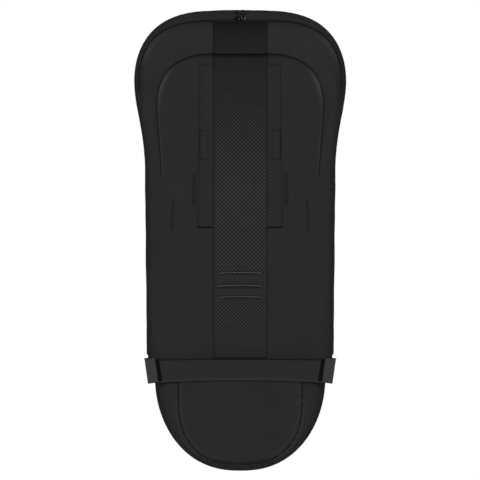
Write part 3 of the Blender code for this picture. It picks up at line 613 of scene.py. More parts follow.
def pocket_edges():
    """Seam points, their inward normals and arch points, from the right arm over the hood to the left."""
    share = np.linspace(0.0, 1.0, ARM_ROWS, endpoint=False)
    angle = np.linspace(0.0, math.pi / 2, ARCH_ROWS)
    hood_x, hood_z = seam_hood(angle, GROOVE)
    arch_rise = ARCH_TOP - POCKET_SHOULDER
    arch_x, arch_up = superellipse(POCKET_HALF, arch_rise, ARCH_POWER, angle, ARCH_RISE_POWER)
    seam_z = ARM_END + (HOOD_CENTRE - ARM_END) * share
    arch_z = ARM_END + (POCKET_SHOULDER - ARM_END) * share
    seam_x = np.append(seam_half_width(seam_z, GROOVE), hood_x)
    arch_x = np.append(ease(ARM_HALF, POCKET_HALF, share), arch_x)
    seam = both_sides(np.column_stack([seam_x, np.append(seam_z, hood_z)]))
    arch = both_sides(np.column_stack([arch_x, np.append(arch_z, POCKET_SHOULDER + arch_up)]))
    along = unit(np.gradient(seam, axis=0))
    return seam, np.column_stack([-along[:, 1], along[:, 0]]), arch


seam, seam_in, arch = pocket_edges()
print("outline", round(2 * float(HOOD_HALF), 4), "m wide,", round(TOP, 4), "m long")

# %% [markdown]
# ## Sheets and cords
# Each piece of cloth is a row of closed rings of points. Nearly all are sheets, so one helper closes a
# sheet between an outer and an inner grid of points and rounds its edges, as a turned hem is round. A
# second sets round rings along a cord. The row of rings may close round on itself, as round an opening.

# %% Helpers that make a piece from grids of points
WELD, SLIVER = 1e-6, 1e-7


def piece(name, rings, finish, body, stands_for=(), wrap=False):
    """Make one mesh piece from a row of closed rings, riding on a body and standing for CAD nodes."""
    rings = np.asarray(rings, float)
    data = bpy.data.meshes.new(name)
    moved = rings.reshape(-1, 3) + (0.0, 0.0, TOE)
    data.from_pydata(moved.tolist(), [], quads(*rings.shape[:2], wrap, True).tolist())
    shape = bmesh.new()
    shape.from_mesh(data)
    bmesh.ops.remove_doubles(shape, verts=shape.verts, dist=WELD)
    bmesh.ops.dissolve_degenerate(shape, edges=shape.edges, dist=SLIVER)
    bmesh.ops.recalc_face_normals(shape, faces=shape.faces)
    shape.to_mesh(data)
    shape.free()
    return dress(name, data, finish, body, stands_for)


def dress(name, data, finish, body, stands_for=()):
    """Make an object of a finished mesh and say what it is."""
    data.materials.clear()
    data.materials.append(finish)
    data.shade_smooth()
    made = bpy.data.objects.new(name, data)
    bpy.context.collection.objects.link(made)
    if body:
        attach(made, body)
    if stands_for:
        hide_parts(*stands_for)
    print(name, len(data.polygons), "faces")
    return made


def quads(rows, columns, wrap_rows, wrap_columns):
    """Corner numbers of the quads of a grid of points."""
    r = np.arange(rows if wrap_rows else rows - 1)
    c = np.arange(columns if wrap_columns else columns - 1)
    r, c = (k.ravel() for k in np.meshgrid(r, c, indexing="ij"))
    row, after_row = r * columns, (r + 1) % rows * columns
    after_c = (c + 1) % columns
    return np.column_stack([row + c, row + after_c, after_row + after_c, after_row + c])


def grid_normals(grid):
    """Unit normals of a grid of points, from its rows and columns."""
    return unit(np.cross(np.gradient(grid, axis=0), np.gradient(grid, axis=1)))


def sheet_rings(outer, inner, wrap=False):
    """Close a sheet between two grids, with round edges.

    Each row runs across the sheet. Rows may wrap round; if not, the first and last rows get a round edge too.
    """
    def edge(near, far):
        middle = (near[0] + near[1]) / 2
        away = unit(middle - (far[0] + far[1]) / 2)
        reach = np.linalg.norm(near[0] - near[1], axis=-1)[..., None] / 2
        return middle + away * reach

    first = edge((outer[:, 0], inner[:, 0]), (outer[:, 1], inner[:, 1]))
    last = edge((outer[:, -1], inner[:, -1]), (outer[:, -2], inner[:, -2]))
    loops = np.concatenate([outer, last[:, None], inner[:, ::-1], first[:, None]], axis=1)
    if not wrap:
        caps = []
        for at, beside in ((0, 1), (-1, -2)):
            tip = edge((outer[at], inner[at]), (outer[beside], inner[beside]))
            caps.append(np.concatenate([tip, tip[-1:], tip[::-1], tip[:1]])[None])
        loops = np.concatenate([caps[0], loops, caps[1]])
    return loops


def cloth(name, outer, thickness, finish, body, slot, stands_for=(), behind=(0.0, 1.0, 0.0)):
    """Sheet of cloth whose outer face is a grid of points, with its thickness on the side behind it."""
    normal = grid_normals(outer)
    side = np.sign((normal @ np.array(behind)).mean())
    rings = sheet_rings(outer, outer + normal * side * thickness)
    return piece(name, rings, finish, body, stands_for)


def cord_rings(path, radius, sides, closed=False):
    """Rings of a round cord along points, its sides turned from the depth axis."""
    along = np.gradient(path, axis=0)
    if closed:
        along = np.roll(path, -1, axis=0) - np.roll(path, 1, axis=0)
    along = unit(along)
    out = unit(np.cross(along, (0.0, 1.0, 0.0)))
    up = np.cross(out, along)
    turn = np.linspace(0.0, FULL_TURN, sides, endpoint=False)[:, None]
    spokes = out[:, None] * np.cos(turn) + up[:, None] * np.sin(turn)
    return path[:, None] + spokes * np.broadcast_to(radius, len(path))[:, None, None]


print("helpers ready")

# %% [markdown]
# ## Back panel
# The panel is a flat pad sewn into the zip seam: level where it lies on the seat, with an edge that rolls
# forward. Rings of points follow the outline down that roll and then close in on the middle line, where the
# grip strip hides the join. The cloth is drawn in a little between stitches at the seam, and dips along the
# arch of the backrest pocket.

# %% Back panel as rings from its rim to its middle line
BACK_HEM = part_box("back_shell")[0].z - TOE
BACK_CORNER = 0.022
BACK_ROLL = 0.018
LINING_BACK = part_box("back_lining")[0].y
LAYER_GAP = 0.0003
FRONT_SEAM = 0.0028
RIM_PROFILE = ((0.0024, RIM - 0.0004), (0.0012, RIM), (0.0001, RIM - 0.0009), (0.0, BACK_ROLL))
EDGE_POINTS = 190
ROLL_STEPS = 12
FACE_STEPS = 71
BACK_SPINE = (BACK_HEM + 0.10, HOOD_CENTRE - 0.02)
ARCH_DIP, ARCH_DIP_WIDTH = 0.0018, 0.0085
FACE_DIP = 0.0005
PUCKER_PITCH = 0.013
PUCKER_DEPTH = 0.0005
ARCH_CORNER, CORNER_SPREAD = (0.165, 0.840), (0.022, 0.036)
# Painted highlight just inside the pocket's arch: strongest at its upper corners, weaker along the arms.
CORNER_HIGHLIGHT, CORNER_HIGHLIGHT_WIDTH = 2.6, 0.0075
ARM_HIGHLIGHT, ARM_HIGHLIGHT_WIDTH, ARM_HIGHLIGHT_TOP = 1.2, 0.0045, 0.80


def pucker(along, pitch=PUCKER_PITCH):
    """Uneven gathers of cloth along a seam, from -1 to 1."""
    return 0.6 * np.sin(FULL_TURN * along / pitch) + 0.4 * np.sin(FULL_TURN * along / (pitch * 1.73) + 1.1)


def sway(x, z):
    """Slow unevenness of a padded face, from -1 to 1."""
    first = np.sin(17.0 * x + 9.0 * z + 0.4) * np.cos(6.0 * z - 11.0 * x)
    return 0.6 * first + 0.4 * np.sin(23.0 * z + 1.3) * np.cos(19.0 * x + 0.7)


def back_loop():
    """Outline of the back panel: a straight hem with round corners, then the zip seam."""
    corner_z = BACK_HEM + BACK_CORNER
    corner_x = float(seam_half_width(corner_z)) - BACK_CORNER
    turn = np.linspace(0.0, math.pi / 2, 12)
    corner = np.column_stack([corner_x + BACK_CORNER * np.sin(turn), corner_z - BACK_CORNER * np.cos(turn)])
    right = np.vstack([[(0.0, BACK_HEM)], corner, back_side(corner_z, GROOVE)[1:]])
    return mirrored(even(right, EDGE_POINTS))


def towards_spine(loop, ratio, low, high):
    """Draw an outline in towards the middle line between two heights."""
    middle = np.clip(loop[:, 1], low, high)
    return np.column_stack([loop[:, 0] * ratio, middle + (loop[:, 1] - middle) * ratio])


loop = back_loop()
normals = inward(loop)
gathers = pucker(travelled_round(loop))[:, None]
rings = []
front_edge = loop + normals * FRONT_SEAM
for ratio in np.linspace(0.0, 1.0, 5):
    rings.append(at_depth(towards_spine(front_edge, ratio, *BACK_SPINE), LINING_BACK - LAYER_GAP))
for inset, depth in RIM_PROFILE:
    rings.append(at_depth(loop + normals * inset, depth))
for turn in np.linspace(0.0, math.pi / 2, ROLL_STEPS + 1)[1:]:
    drawn = PUCKER_DEPTH * math.cos(turn) * gathers
    edge = loop + normals * (BACK_ROLL * (1 - math.cos(turn)) + drawn)
    rings.append(at_depth(edge, BACK_ROLL * (1 - math.sin(turn))))
flat = loop + normals * BACK_ROLL
for ratio in np.linspace(1.0, 0.0, FACE_STEPS + 1)[1:]:
    ring = towards_spine(flat, ratio, *BACK_SPINE)
    dip = FACE_DIP * (1 + sway(ring[:, 0], ring[:, 1])) * min(1.0, 6 * (1 - ratio))
    sunk = ease(0.0, ARCH_DIP, (ring[:, 1] - ARM_END - 0.02) / 0.10)
    away = distance_to(arch, at_depth(ring, 0.0))
    rings.append(at_depth(ring, dip + sunk * fade(away, ARCH_DIP_WIDTH)))
back_panel = piece("back_panel", rings, OUTER, "back", ("back_shell", "back_padding"))
# Painted highlight on the panel beside the arch, strongest at the arch's upper corners.
here = mesh_points(back_panel)
away = distance_to(arch, here)
corner_x = fade(np.abs(here[:, 0]) - ARCH_CORNER[0], CORNER_SPREAD[0])
corner_z = fade(here[:, 2] - ARCH_CORNER[1], CORNER_SPREAD[1])
along_arm = ease(0.0, 1.0, (here[:, 2] - ARM_END) / 0.04) * ease(1.0, 0.0, (here[:, 2] - ARM_HIGHLIGHT_TOP) / 0.05)
at_corner = CORNER_HIGHLIGHT * corner_x * corner_z * fade(away, CORNER_HIGHLIGHT_WIDTH)
set_painted_light(back_panel, at_corner + ARM_HIGHLIGHT * along_arm * fade(away, ARM_HIGHLIGHT_WIDTH))

# %% [markdown]
# ## Fleece lining of the back
# The child lies on fleece, sewn just inside the panel's rim. It is a sheet that swells a little between the
# edges.

# %% Fleece on the front of the back panel
LINING_INSET, LINING_LIFT = 0.0032, 0.0001
LINING_STEPS = 26
FLEECE_EDGE, FLEECE_SWELL = 0.0010, 0.0011
lining_edge = loop + normals * LINING_INSET
sewn_side = LINING_BACK + LINING_LIFT
rings = [at_depth(towards_spine(lining_edge, ratio, *BACK_SPINE), sewn_side) for ratio in (0.0, 1.0)]
for ratio in np.linspace(1.0, 0.0, LINING_STEPS):
    ring = towards_spine(lining_edge, ratio, *BACK_SPINE)
    uneven = 0.6 + 0.4 * sway(ring[:, 0], ring[:, 1])
    swell = FLEECE_EDGE + FLEECE_SWELL * min(1.0, 4 * (1 - ratio)) * uneven
    rings.append(at_depth(ring, LINING_BACK + swell))
lining_rings = np.array(rings)
back_lining = piece("back_fleece", lining_rings, FLEECE, "back", ("back_lining",))

# %% [markdown]
# ## Backrest pocket
# A horseshoe of the same fabric is sewn into the zip seam and open along its inner arch, so that it slips
# over the top of the seat's backrest. It stands off the panel at the top and runs out flat along the arms.
# Each row of points goes from the seam round the edge to the arch, and the face swells between the two, as
# padded cloth does.

# %% Backrest pocket
POCKET_TUCK = 0.001
POCKET_PUCKER = 0.0006
POCKET_SWELL, SWELL_PUCKER = 0.0016, 0.0003
# Painted light on the pocket: a slight lightening all over, a painted highlight on its roll at the shoulders,
# and painted shade beside the grip strip.
POCKET_PAINTED_LIGHT = 0.1
SHOULDER_HEIGHT, SHOULDER_SPREAD = 0.9155, 0.032
SHOULDER_HIGHLIGHT, SHOULDER_HIGHLIGHT_PLACE, SHOULDER_HIGHLIGHT_WIDTH = 1.8, 0.0015, 0.0075
STRIP_SHADE, STRIP_SHADE_WIDTH = 0.9, 0.008
edge = seam - seam_in * pocket_reach(seam[:, 1])[:, None]
floor_y = pocket_floor(edge[:, 1])
roll = BACK_ROLL + pocket_reach(edge[:, 1])
full = ease(0.0, 1.0, (edge[:, 1] - ARM_END) / ARM_FADE)
walked = np.cumsum(np.linalg.norm(np.gradient(seam, axis=0), axis=1))
gathers = pucker(walked)
columns = [at_depth(edge, RIM - POCKET_TUCK), at_depth(edge, roll)]
for turn in np.linspace(0.0, math.pi / 2, 12)[1:]:
    inset = roll * (1 - math.cos(turn)) + POCKET_PUCKER * math.cos(turn) * gathers
    columns.append(at_depth(edge + seam_in * inset[:, None], floor_y + roll * (1 - math.sin(turn))))
start = columns[-1]
stop = at_depth(arch, arch_depth(arch))
for share in np.linspace(0.0, 1.0, 18)[1:]:
    here = start + (stop - start) * share
    here[:, 1] -= full * math.sin(math.pi * share) * (POCKET_SWELL + SWELL_PUCKER * gathers)
    columns.append(here)
pocket_face = np.stack(columns, axis=1)
pocket = cloth("backrest_pocket_cloth", pocket_face, POCKET_SKIN, OUTER, "back", "softshell",
               ("backrest_pocket",))
here = mesh_points(pocket)
from_edge = distance_to(edge, here)
by_strip = np.abs(here[:, 0]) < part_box("grip_strip_upper")[1].x
shoulder = SHOULDER_HIGHLIGHT * fade(here[:, 2] - SHOULDER_HEIGHT, SHOULDER_SPREAD)
# Painted highlight on the pocket's roll at the shoulders.
pale = shoulder * fade(from_edge - SHOULDER_HIGHLIGHT_PLACE, SHOULDER_HIGHLIGHT_WIDTH)
set_painted_light(pocket, POCKET_PAINTED_LIGHT + pale - STRIP_SHADE * by_strip * fade(from_edge, STRIP_SHADE_WIDTH))

# %% Bound edge of the pocket's arch
ARCH_CORD = 0.0014
CORD_FADE = 0.026
CORD_TAIL = 0.016
CORD_SINK, TAIL_SINK = 0.0008, 0.0012
tails = [arch[end] - (0.0, CORD_TAIL) for end in (0, -1)]
fine = even(np.vstack([tails[:1], arch, tails[1:]]), 440)
low_end = ease(0.0, 1.0, (fine[:, 1] - ARM_END + CORD_TAIL) / CORD_FADE)
cord_y = arch_depth(fine) + CORD_SINK + TAIL_SINK * (1 - low_end)
rings = cord_rings(at_depth(fine, cord_y), ARCH_CORD * (0.25 + 0.75 * low_end), 10)
# The cord's dark cloth paints the shadow line along the pocket's bound free edge.
piece("pocket_arch_edge_and_shade", rings, SEAM_AND_SHADE_LINE, "back")

# %% [markdown]
# ## Grip strip
# A band of anti-slip cloth runs down the middle, its lower part on the panel and its upper part on the
# pocket and round the hood's edge. The lower part steps up over the harness patch.

# %% Grip strip in two parts
STRIP_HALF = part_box("grip_strip_lower")[1].x
STRIP_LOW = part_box("grip_strip_lower")[0].z - TOE
STRIP_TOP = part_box("grip_strip_lower")[1].z - TOE
STRIP_THICKNESS = 0.0015
STRIP_LIFT, PATCH_LIFT = 0.0003, 0.0001
PATCH_LOW, PATCH_HIGH = (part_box("harness_patch")[k].z - TOE for k in range(2))
PATCH_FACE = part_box("harness_patch")[0].y
STRIP_RAMP = 0.010
STRIP_COLUMNS = 25
STRIP_STEP = 0.004
STRIP_TURN = math.radians(69)
CURVE_LIFT = 0.0007
POCKET_BULGE = 0.0012
MOUTH_HEM, MOUTH_SINK, MOUTH_RISE = 0.0018, 0.0012, 0.0004


def strip_depth(z):
    """Depth of the lower strip's outer face."""
    under = ease(0.0, 1.0, (z - PATCH_LOW + STRIP_RAMP) / STRIP_RAMP)
    over = ease(1.0, 0.0, (z - PATCH_HIGH) / STRIP_RAMP)
    return -STRIP_LIFT - STRIP_THICKNESS + (PATCH_FACE - PATCH_LIFT) * np.minimum(under, over)


def upper_strip_line(x, count_flat, count_roll):
    """Points of the upper strip's outer face above one place across it, with the way they face."""
    lift = CURVE_LIFT + STRIP_THICKNESS
    floor = float(pocket_floor(HOOD_CENTRE)) - POCKET_BULGE
    rise = (1 - (abs(x) / (SEAM_HALF - GROOVE)) ** SEAM_POWER) ** (1 / SEAM_RISE_POWER)
    roll = BACK_ROLL + POCKET_REACH
    centre = HOOD_CENTRE + (SEAM_TOP - HOOD_CENTRE - GROOVE) * rise - BACK_ROLL
    z = np.linspace(POCKET_MOUTH + MOUTH_HEM, centre, count_flat, endpoint=False)
    turn = np.linspace(0.0, STRIP_TURN, count_roll)
    y = np.append(np.full(count_flat, floor - lift), floor + roll - (roll + lift) * np.cos(turn))
    z = np.append(z, centre + (roll + lift) * np.sin(turn))
    out_y = np.append(np.full(count_flat, -1.0), -np.cos(turn))
    out_z = np.append(np.zeros(count_flat), np.sin(turn))
    return np.column_stack([np.full(len(y), x), y, z]), np.column_stack([np.zeros(len(y)), out_y, out_z])


heights = np.arange(STRIP_LOW + STRIP_THICKNESS, STRIP_TOP, STRIP_STEP)
strip_edge = STRIP_HALF - STRIP_THICKNESS / 2
across = np.linspace(-strip_edge, strip_edge, STRIP_COLUMNS)
lower = np.array([[(x, float(strip_depth(z)), z) for x in across] for z in heights])
grip_lower = cloth("grip_strip_lower_cloth", lower, STRIP_THICKNESS, GRIP_BASE, "back", "grip_fabric",
                   ("grip_strip_lower",))
upper = np.array([upper_strip_line(x, 10, 12)[0] for x in across])
grip_upper = cloth("grip_strip_upper_cloth", upper, STRIP_THICKNESS, GRIP_BASE, "back", "grip_fabric",
                   ("grip_strip_upper",))
# A nearly black cord across the strip at the pocket's mouth paints the shadow under the pocket's edge.
mouth_z = np.full(STRIP_COLUMNS, POCKET_MOUTH + MOUTH_RISE)
mouth = np.column_stack([across, upper[:, 0, 1] + MOUTH_SINK, mouth_z])
piece("grip_strip_mouth_shadow", cord_rings(mouth, MOUTH_HEM, 10), PAINTED_SHADOW, "back")

# %% [markdown]
# ## Harness patch and its tabs
# Under the strip lies a long patch, wider at its lower end, with a hook-and-loop tab on each side to park
# the harness.

# %% Harness patch and tabs
PATCH_THICKNESS = 0.0012
PATCH_HALF_TOP, PATCH_HALF_LOW = 0.0867, 0.0920
PATCH_SWAY = 0.00025
TAB_THICKNESS = 0.001
TAB_COLUMNS, TAB_ROWS = 12, 36
TAB_EDGE_DROP = 0.0003


def flat_grid(left, right, low, high, depth, columns, rows):
    """Upright grid of points between two edges that may lean."""
    share = np.linspace(0.0, 1.0, rows)[:, None]
    side = np.linspace(0.0, 1.0, columns)[None]
    lefts = left[0] + (left[1] - left[0]) * share
    rights = right[0] + (right[1] - right[0]) * share
    x = lefts + (rights - lefts) * side
    z = np.broadcast_to(low + (high - low) * share, x.shape)
    return np.stack([x, np.full(x.shape, depth), z], axis=2)


patch_left, patch_right = ((side * PATCH_HALF_LOW, side * PATCH_HALF_TOP) for side in (-1, 1))
patch_grid = flat_grid(patch_left, patch_right, PATCH_LOW, PATCH_HIGH, PATCH_FACE, 40, 90)
patch_grid[..., 1] -= PATCH_SWAY * sway(3 * patch_grid[..., 0], 3 * patch_grid[..., 2])
patch = cloth("harness_patch_cloth", patch_grid, PATCH_THICKNESS, OUTER, "back", "softshell",
              ("harness_patch",))
for hand in ("left", "right"):
    low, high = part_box(f"harness_tab_{hand}")
    sides = ((low.x, low.x), (high.x, high.x))
    grid = flat_grid(*sides, low.z - TOE, high.z - TOE, low.y, TAB_COLUMNS, TAB_ROWS)
    grid[..., 1] += TAB_EDGE_DROP * (np.abs(np.linspace(-1, 1, TAB_COLUMNS)) ** 4)[None]
    cloth(f"harness_tab_{hand}_tape", grid, TAB_THICKNESS, LOOP_TAPE, "back", "loop_tape",
                      (f"harness_tab_{hand}",))

# %% [markdown]
# ## Slots for the harness
# Straps pass through four upright slots and three level ones. Each is a slit with bound lips that nearly
# close. The slits are cut right through the panel, its lining and the strip with an exact Boolean, then a
# binding is lofted through each.

# %% Slits and their bindings
SLOT_LENGTH, CROTCH_LENGTH = 0.068, 0.094
INNER_SLOT = (0.1002, POCKET_MOUTH - 0.2945, math.radians(1.2))
OUTER_SLOT = (0.1466, POCKET_MOUTH - 0.3475, math.radians(2.4))
CROTCH_HEIGHTS = [PATCH_LOW - drop for drop in (0.1004, 0.1282, 0.1526)]
SLOT_GAP, CROTCH_GAP = 0.0004, 0.0010
SLOT_FACE = 0.0005
SLIT_POINTS = 56
SLIT_POWER = 2.3
SLIT_CUT = 0.0050
SLIT_REACH = 0.05
LIP_RISE = 0.0010
LIP_FRONT = RIM + 0.0006
LIP_PAINTED_LIGHT = 0.35
SLOT_SEWN, CROTCH_SEWN = 0.0061, 0.0034


def slit_ring(length, width, depth, middle, lean):
    """Lens-shaped slit leaning about its middle, at one depth."""
    angle = np.linspace(0.0, FULL_TURN, SLIT_POINTS, endpoint=False)
    x, z = superellipse(width / 2, length / 2, SLIT_POWER, angle)
    c, s = math.cos(lean), math.sin(lean)
    return at_depth(np.column_stack([middle[0] + x * c + z * s, middle[1] - x * s + z * c]), depth)


def slots():
    """Name, middle, lean, length, open width and outer face of every slot."""
    for name, (x, z, lean) in (("inner", INNER_SLOT), ("outer", OUTER_SLOT)):
        for hand, side in (("left", -1), ("right", 1)):
            yield f"harness_slot_{name}_{hand}", (side * x, z), -side * lean, SLOT_LENGTH, SLOT_GAP, SLOT_FACE
    for number, z in enumerate(CROTCH_HEIGHTS, 1):
        depth = float(strip_depth(z))
        yield f"crotch_slot_{number}", (0.0, z), math.pi / 2, CROTCH_LENGTH, CROTCH_GAP, depth


def lip_profile(gap, face):
    """Width and depth of each ring of a slot's binding: back lip, slit, front lip and hidden wall."""
    crest, front_crest = face - LIP_RISE, LIP_FRONT + LIP_RISE
    wall = SLIT_CUT - 0.0004
    back_lip = [(0.0078, face + 0.0002), (0.0074, face - LIP_RISE * 0.6), (0.0060, crest), (0.0036, crest)]
    slit = [(0.0018, face - LIP_RISE * 0.7), (gap, face + 0.0004), (gap, LIP_FRONT - 0.002)]
    front_lip = [(0.0024, LIP_FRONT + LIP_RISE * 0.4), (0.0050, front_crest),
                 (0.0074, LIP_FRONT + LIP_RISE * 0.5), (0.0076, LIP_FRONT - 0.0002)]
    return back_lip + slit + front_lip + [(wall, LIP_FRONT - 0.0010), (wall, face + 0.0010)]


cutter = bmesh.new()
for _, middle, lean, length, _, _ in slots():
    walls = []
    for y in (-SLIT_REACH, SLIT_REACH):
        ring = slit_ring(length, SLIT_CUT, y, middle, lean) + (0.0, 0.0, TOE)
        walls.append([cutter.verts.new(point) for point in ring])
    near, far = walls
    for k in range(SLIT_POINTS):
        after = (k + 1) % SLIT_POINTS
        cutter.faces.new((near[k], near[after], far[after], far[k]))
    cutter.faces.new(near)
    cutter.faces.new(far)
bmesh.ops.recalc_face_normals(cutter, faces=cutter.faces)
cutter_data = bpy.data.meshes.new("slit_cutter")
cutter.to_mesh(cutter_data)
cutter.free()
slit_cutter = bpy.data.objects.new("slit_cutter", cutter_data)
bpy.context.collection.objects.link(slit_cutter)
for layer in (back_panel, back_lining, grip_lower):
    slit = layer.modifiers.new("slits", "BOOLEAN")
    slit.object = slit_cutter
    slit.solver = "EXACT"
    bpy.context.view_layer.update()
    cut = bpy.data.meshes.new_from_object(layer.evaluated_get(bpy.context.evaluated_depsgraph_get()))
    layer.modifiers.clear()
    layer.data = cut
    print(layer.name, "cut to", len(cut.polygons), "faces")
bpy.data.objects.remove(slit_cutter)

slot_paths = {}
for name, middle, lean, length, gap, face in slots():
    rings = [slit_ring(length + w - SLIT_CUT, w, y, middle, lean) for w, y in lip_profile(gap, face)]
    finish, width = (GRIP_BASE, CROTCH_SEWN) if name.startswith("crotch") else (OUTER, SLOT_SEWN)
    lips = piece(f"{name}_lips", rings, finish, "back", (f"{name}_binding",), wrap=True)
    # The lips are lightened with painted light, against the shade inside the slit.
    set_painted_light(lips, np.full(len(lips.data.vertices), LIP_PAINTED_LIGHT))
    slot_paths[name] = slit_ring(length + width - SLIT_CUT, width, face - LIP_RISE * 0.9, middle, lean)

# %% [markdown]
# ## Cross strap and its webbing loops
# A wide elastic strap goes across the lower back and holds the footmuff to the seat. Its ends are sewn
# under two short loops of webbing that fold round from the side seams. The strap is slightly arched,
# because it pulls on the loops, and its lower edge lies closer to the pouch.

# %% Elastic cross strap
STRAP_LOW, STRAP_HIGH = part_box("cross_strap")
STRAP_TOP = STRAP_HIGH.z - TOE
STRAP_WIDTH = 0.0456
STRAP_SPREAD, STRAP_DROP = 0.0042, 0.0011
STRAP_THICKNESS = 0.0018
STRAP_TUCK = 0.0055
STRAP_BOW, STRAP_PULL = 0.0010, 0.0003
STRAP_COLUMNS, STRAP_ROWS = 90, 14
STRAP_HIGHLIGHT, STRAP_HIGHLIGHT_PLACE, STRAP_HIGHLIGHT_WIDTH = 1.4, 0.0016, 0.0024
STRAP_EDGE, STRAP_EDGE_RISE = 0.0013, 0.0012
rows = []
for share in np.linspace(-1.0, 1.0, STRAP_COLUMNS):
    top = STRAP_TOP - STRAP_DROP * share * share - STRAP_THICKNESS / 2
    low = STRAP_TOP - STRAP_WIDTH - (STRAP_DROP + STRAP_SPREAD) * share * share + STRAP_THICKNESS / 2
    z = np.linspace(low, top, STRAP_ROWS)
    bow = STRAP_BOW * (1 - share * share) * np.sin(np.linspace(0.0, math.pi, STRAP_ROWS))
    pull = STRAP_PULL * math.sin(60 * share) * share**6
    tuck = STRAP_TUCK * (1 - abs(share) ** 14) * np.linspace(1.0, 0.0, STRAP_ROWS) ** 1.5
    x = np.full(STRAP_ROWS, STRAP_HIGH.x * share)
    rows.append(np.column_stack([x, STRAP_LOW.y - bow + pull + tuck, z]))
strap_face = np.array(rows)
strap = cloth("cross_strap_elastic", strap_face, STRAP_THICKNESS, ELASTIC, "back", "elastic",
              ("cross_strap",))
# Painted highlight along the strap's lower edge.
from_edge = distance_to(strap_face[:, 0, [0, 2]], mesh_points(strap))
set_painted_light(strap, STRAP_HIGHLIGHT * fade(from_edge - STRAP_HIGHLIGHT_PLACE, STRAP_HIGHLIGHT_WIDTH))
# A dark cord along the strap's upper edge paints the shadow line there.
upper_edge = strap_face[:, -1] + (0.0, STRAP_THICKNESS * 0.4, STRAP_EDGE_RISE)
piece("cross_strap_upper_edge_shadow", cord_rings(upper_edge, STRAP_EDGE, 10), SEAM_AND_SHADE_LINE, "back")

# %% Webbing loops at the strap's ends
LOOP_LENGTH = 0.0552
LOOP_THICKNESS = 0.002
LOOP_LEAN = math.radians(8.0)
LOOP_BEND = 0.004
LOOP_REACH = 0.0220
LOOP_BULGE = 0.0046
LOOP_FACE, LOOP_END = (corner.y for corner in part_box("strap_loop_right"))
LOOP_WALL = float(seam_half_width(BACK_HEM)) + 0.0006 + LOOP_THICKNESS + LOOP_BULGE
LOOP_MIDDLE = STRAP_TOP - STRAP_WIDTH / 2 - 0.0022
TIP_POINTS, BEND_POINTS, LEG_POINTS = 12, 8, 12
END_SHADOW = 0.0008
END_SHADOW_FROM, END_SHADOW_TO = -0.001, 0.0092
LOOP_HEM, LOOP_HEM_LIFT = 0.0010, (0.0, 0.0002, 0.0008)
bend_x, bend_y = LOOP_WALL - LOOP_BEND, LOOP_FACE + LOOP_BEND
tip_x = np.linspace(LOOP_WALL - LOOP_REACH, bend_x, TIP_POINTS, endpoint=False)
turn = np.linspace(0.0, math.pi / 2, BEND_POINTS)
drop = np.linspace(0.0, 1.0, LEG_POINTS + 1)[1:]
tip = np.column_stack([tip_x, np.full(TIP_POINTS, LOOP_FACE)])
bend = np.column_stack([bend_x + LOOP_BEND * np.sin(turn), bend_y - LOOP_BEND * np.cos(turn)])
leg = np.column_stack([LOOP_WALL - LOOP_BULGE * drop**2, bend_y + (LOOP_END - bend_y) * drop])
loop_line = np.vstack([tip, bend, leg])
pivot_x, pivot_z = LOOP_WALL - LOOP_THICKNESS, BACK_HEM + BACK_CORNER
half_length = (LOOP_LENGTH - LOOP_THICKNESS) / 2
loops, strap_ends = [], []
for hand, sign in (("left", -1), ("right", 1)):
    rows = []
    for z in np.linspace(LOOP_MIDDLE - half_length, LOOP_MIDDLE + half_length, 18):
        x, up = loop_line[:, 0] - pivot_x, z - pivot_z
        turned_x = x * math.cos(LOOP_LEAN) + up * math.sin(LOOP_LEAN)
        turned_z = -x * math.sin(LOOP_LEAN) + up * math.cos(LOOP_LEAN)
        rows.append(np.column_stack([sign * (pivot_x + turned_x), loop_line[:, 1], pivot_z + turned_z]))
    webbing = np.array(rows)
    # Beside each loop, a nearly black strip of cloth on the strap paints the shadow of the loop's edge.
    band = []
    for reach in np.linspace(END_SHADOW_FROM, END_SHADOW_TO, 5):
        band.append(webbing[:, 0] + (-sign * reach, STRAP_LOW.y - END_SHADOW - LOOP_FACE, 0.0))
    end_grid = np.stack(band, axis=1)[1:-1]
    strap_ends.append(cloth(f"painted_shadow_cloth_{hand}_tape", end_grid, END_SHADOW, PAINTED_SHADOW, "back", "binding"))
    loops.append(cloth(f"strap_loop_{hand}_webbing", webbing, LOOP_THICKNESS, WEBBING, "back", "webbing",
                       (f"strap_loop_{hand}",)))
    # A dark cord along each loop's top edge, where the webbing is folded, paints the shade line there.
    hem = webbing[-1, :TIP_POINTS + BEND_POINTS] + LOOP_HEM_LIFT
    piece(f"strap_loop_{hand}_hem", cord_rings(hem, LOOP_HEM, 8), SEAM_AND_SHADE_LINE, "back")

# %% [markdown]
# ## Foot pouch
# The feet go into a padded pouch with a round toe. It is cut in level slices: the front of a slice follows
# the cover's dome, and the back goes round a gusset to the flat sole. Its mouth is level in front and lower
# behind, at the panel's hem. An outer and an inner set of slices make the padded wall, and two more
# the fleece inside it.

# %% Depth of the pouch's front and back
SOLE_HALF = 0.1300
SOLE_CENTRE, SOLE_RISE = 0.1535, 0.1349
SOLE_POWER = 2.45
GUSSET_POWER = 3.2
SOLE_DEPTH = 0.004
MOUTH_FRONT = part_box("foot_shell")[1].z - TOE
MOUTH_BACK = BACK_HEM - 0.0006
MOUTH_STEP = 0.010
PAD_WALL = 0.0098
LINING_WALL = 0.0015
SLICE_POINTS = 110
TOE_SLICES, SIDE_SLICES = 34, 22
TOE_SHADE_LOW, TOE_SHADE_RISE = 0.016, 0.024


def dome_rise(ratio):
    """Share of the cover's fullness at a share of the way out to its outline."""
    return np.maximum(1 - np.clip(ratio, 0.0, 1.0) ** DOME_POWER, 0.0) ** (1 / DOME_POWER)


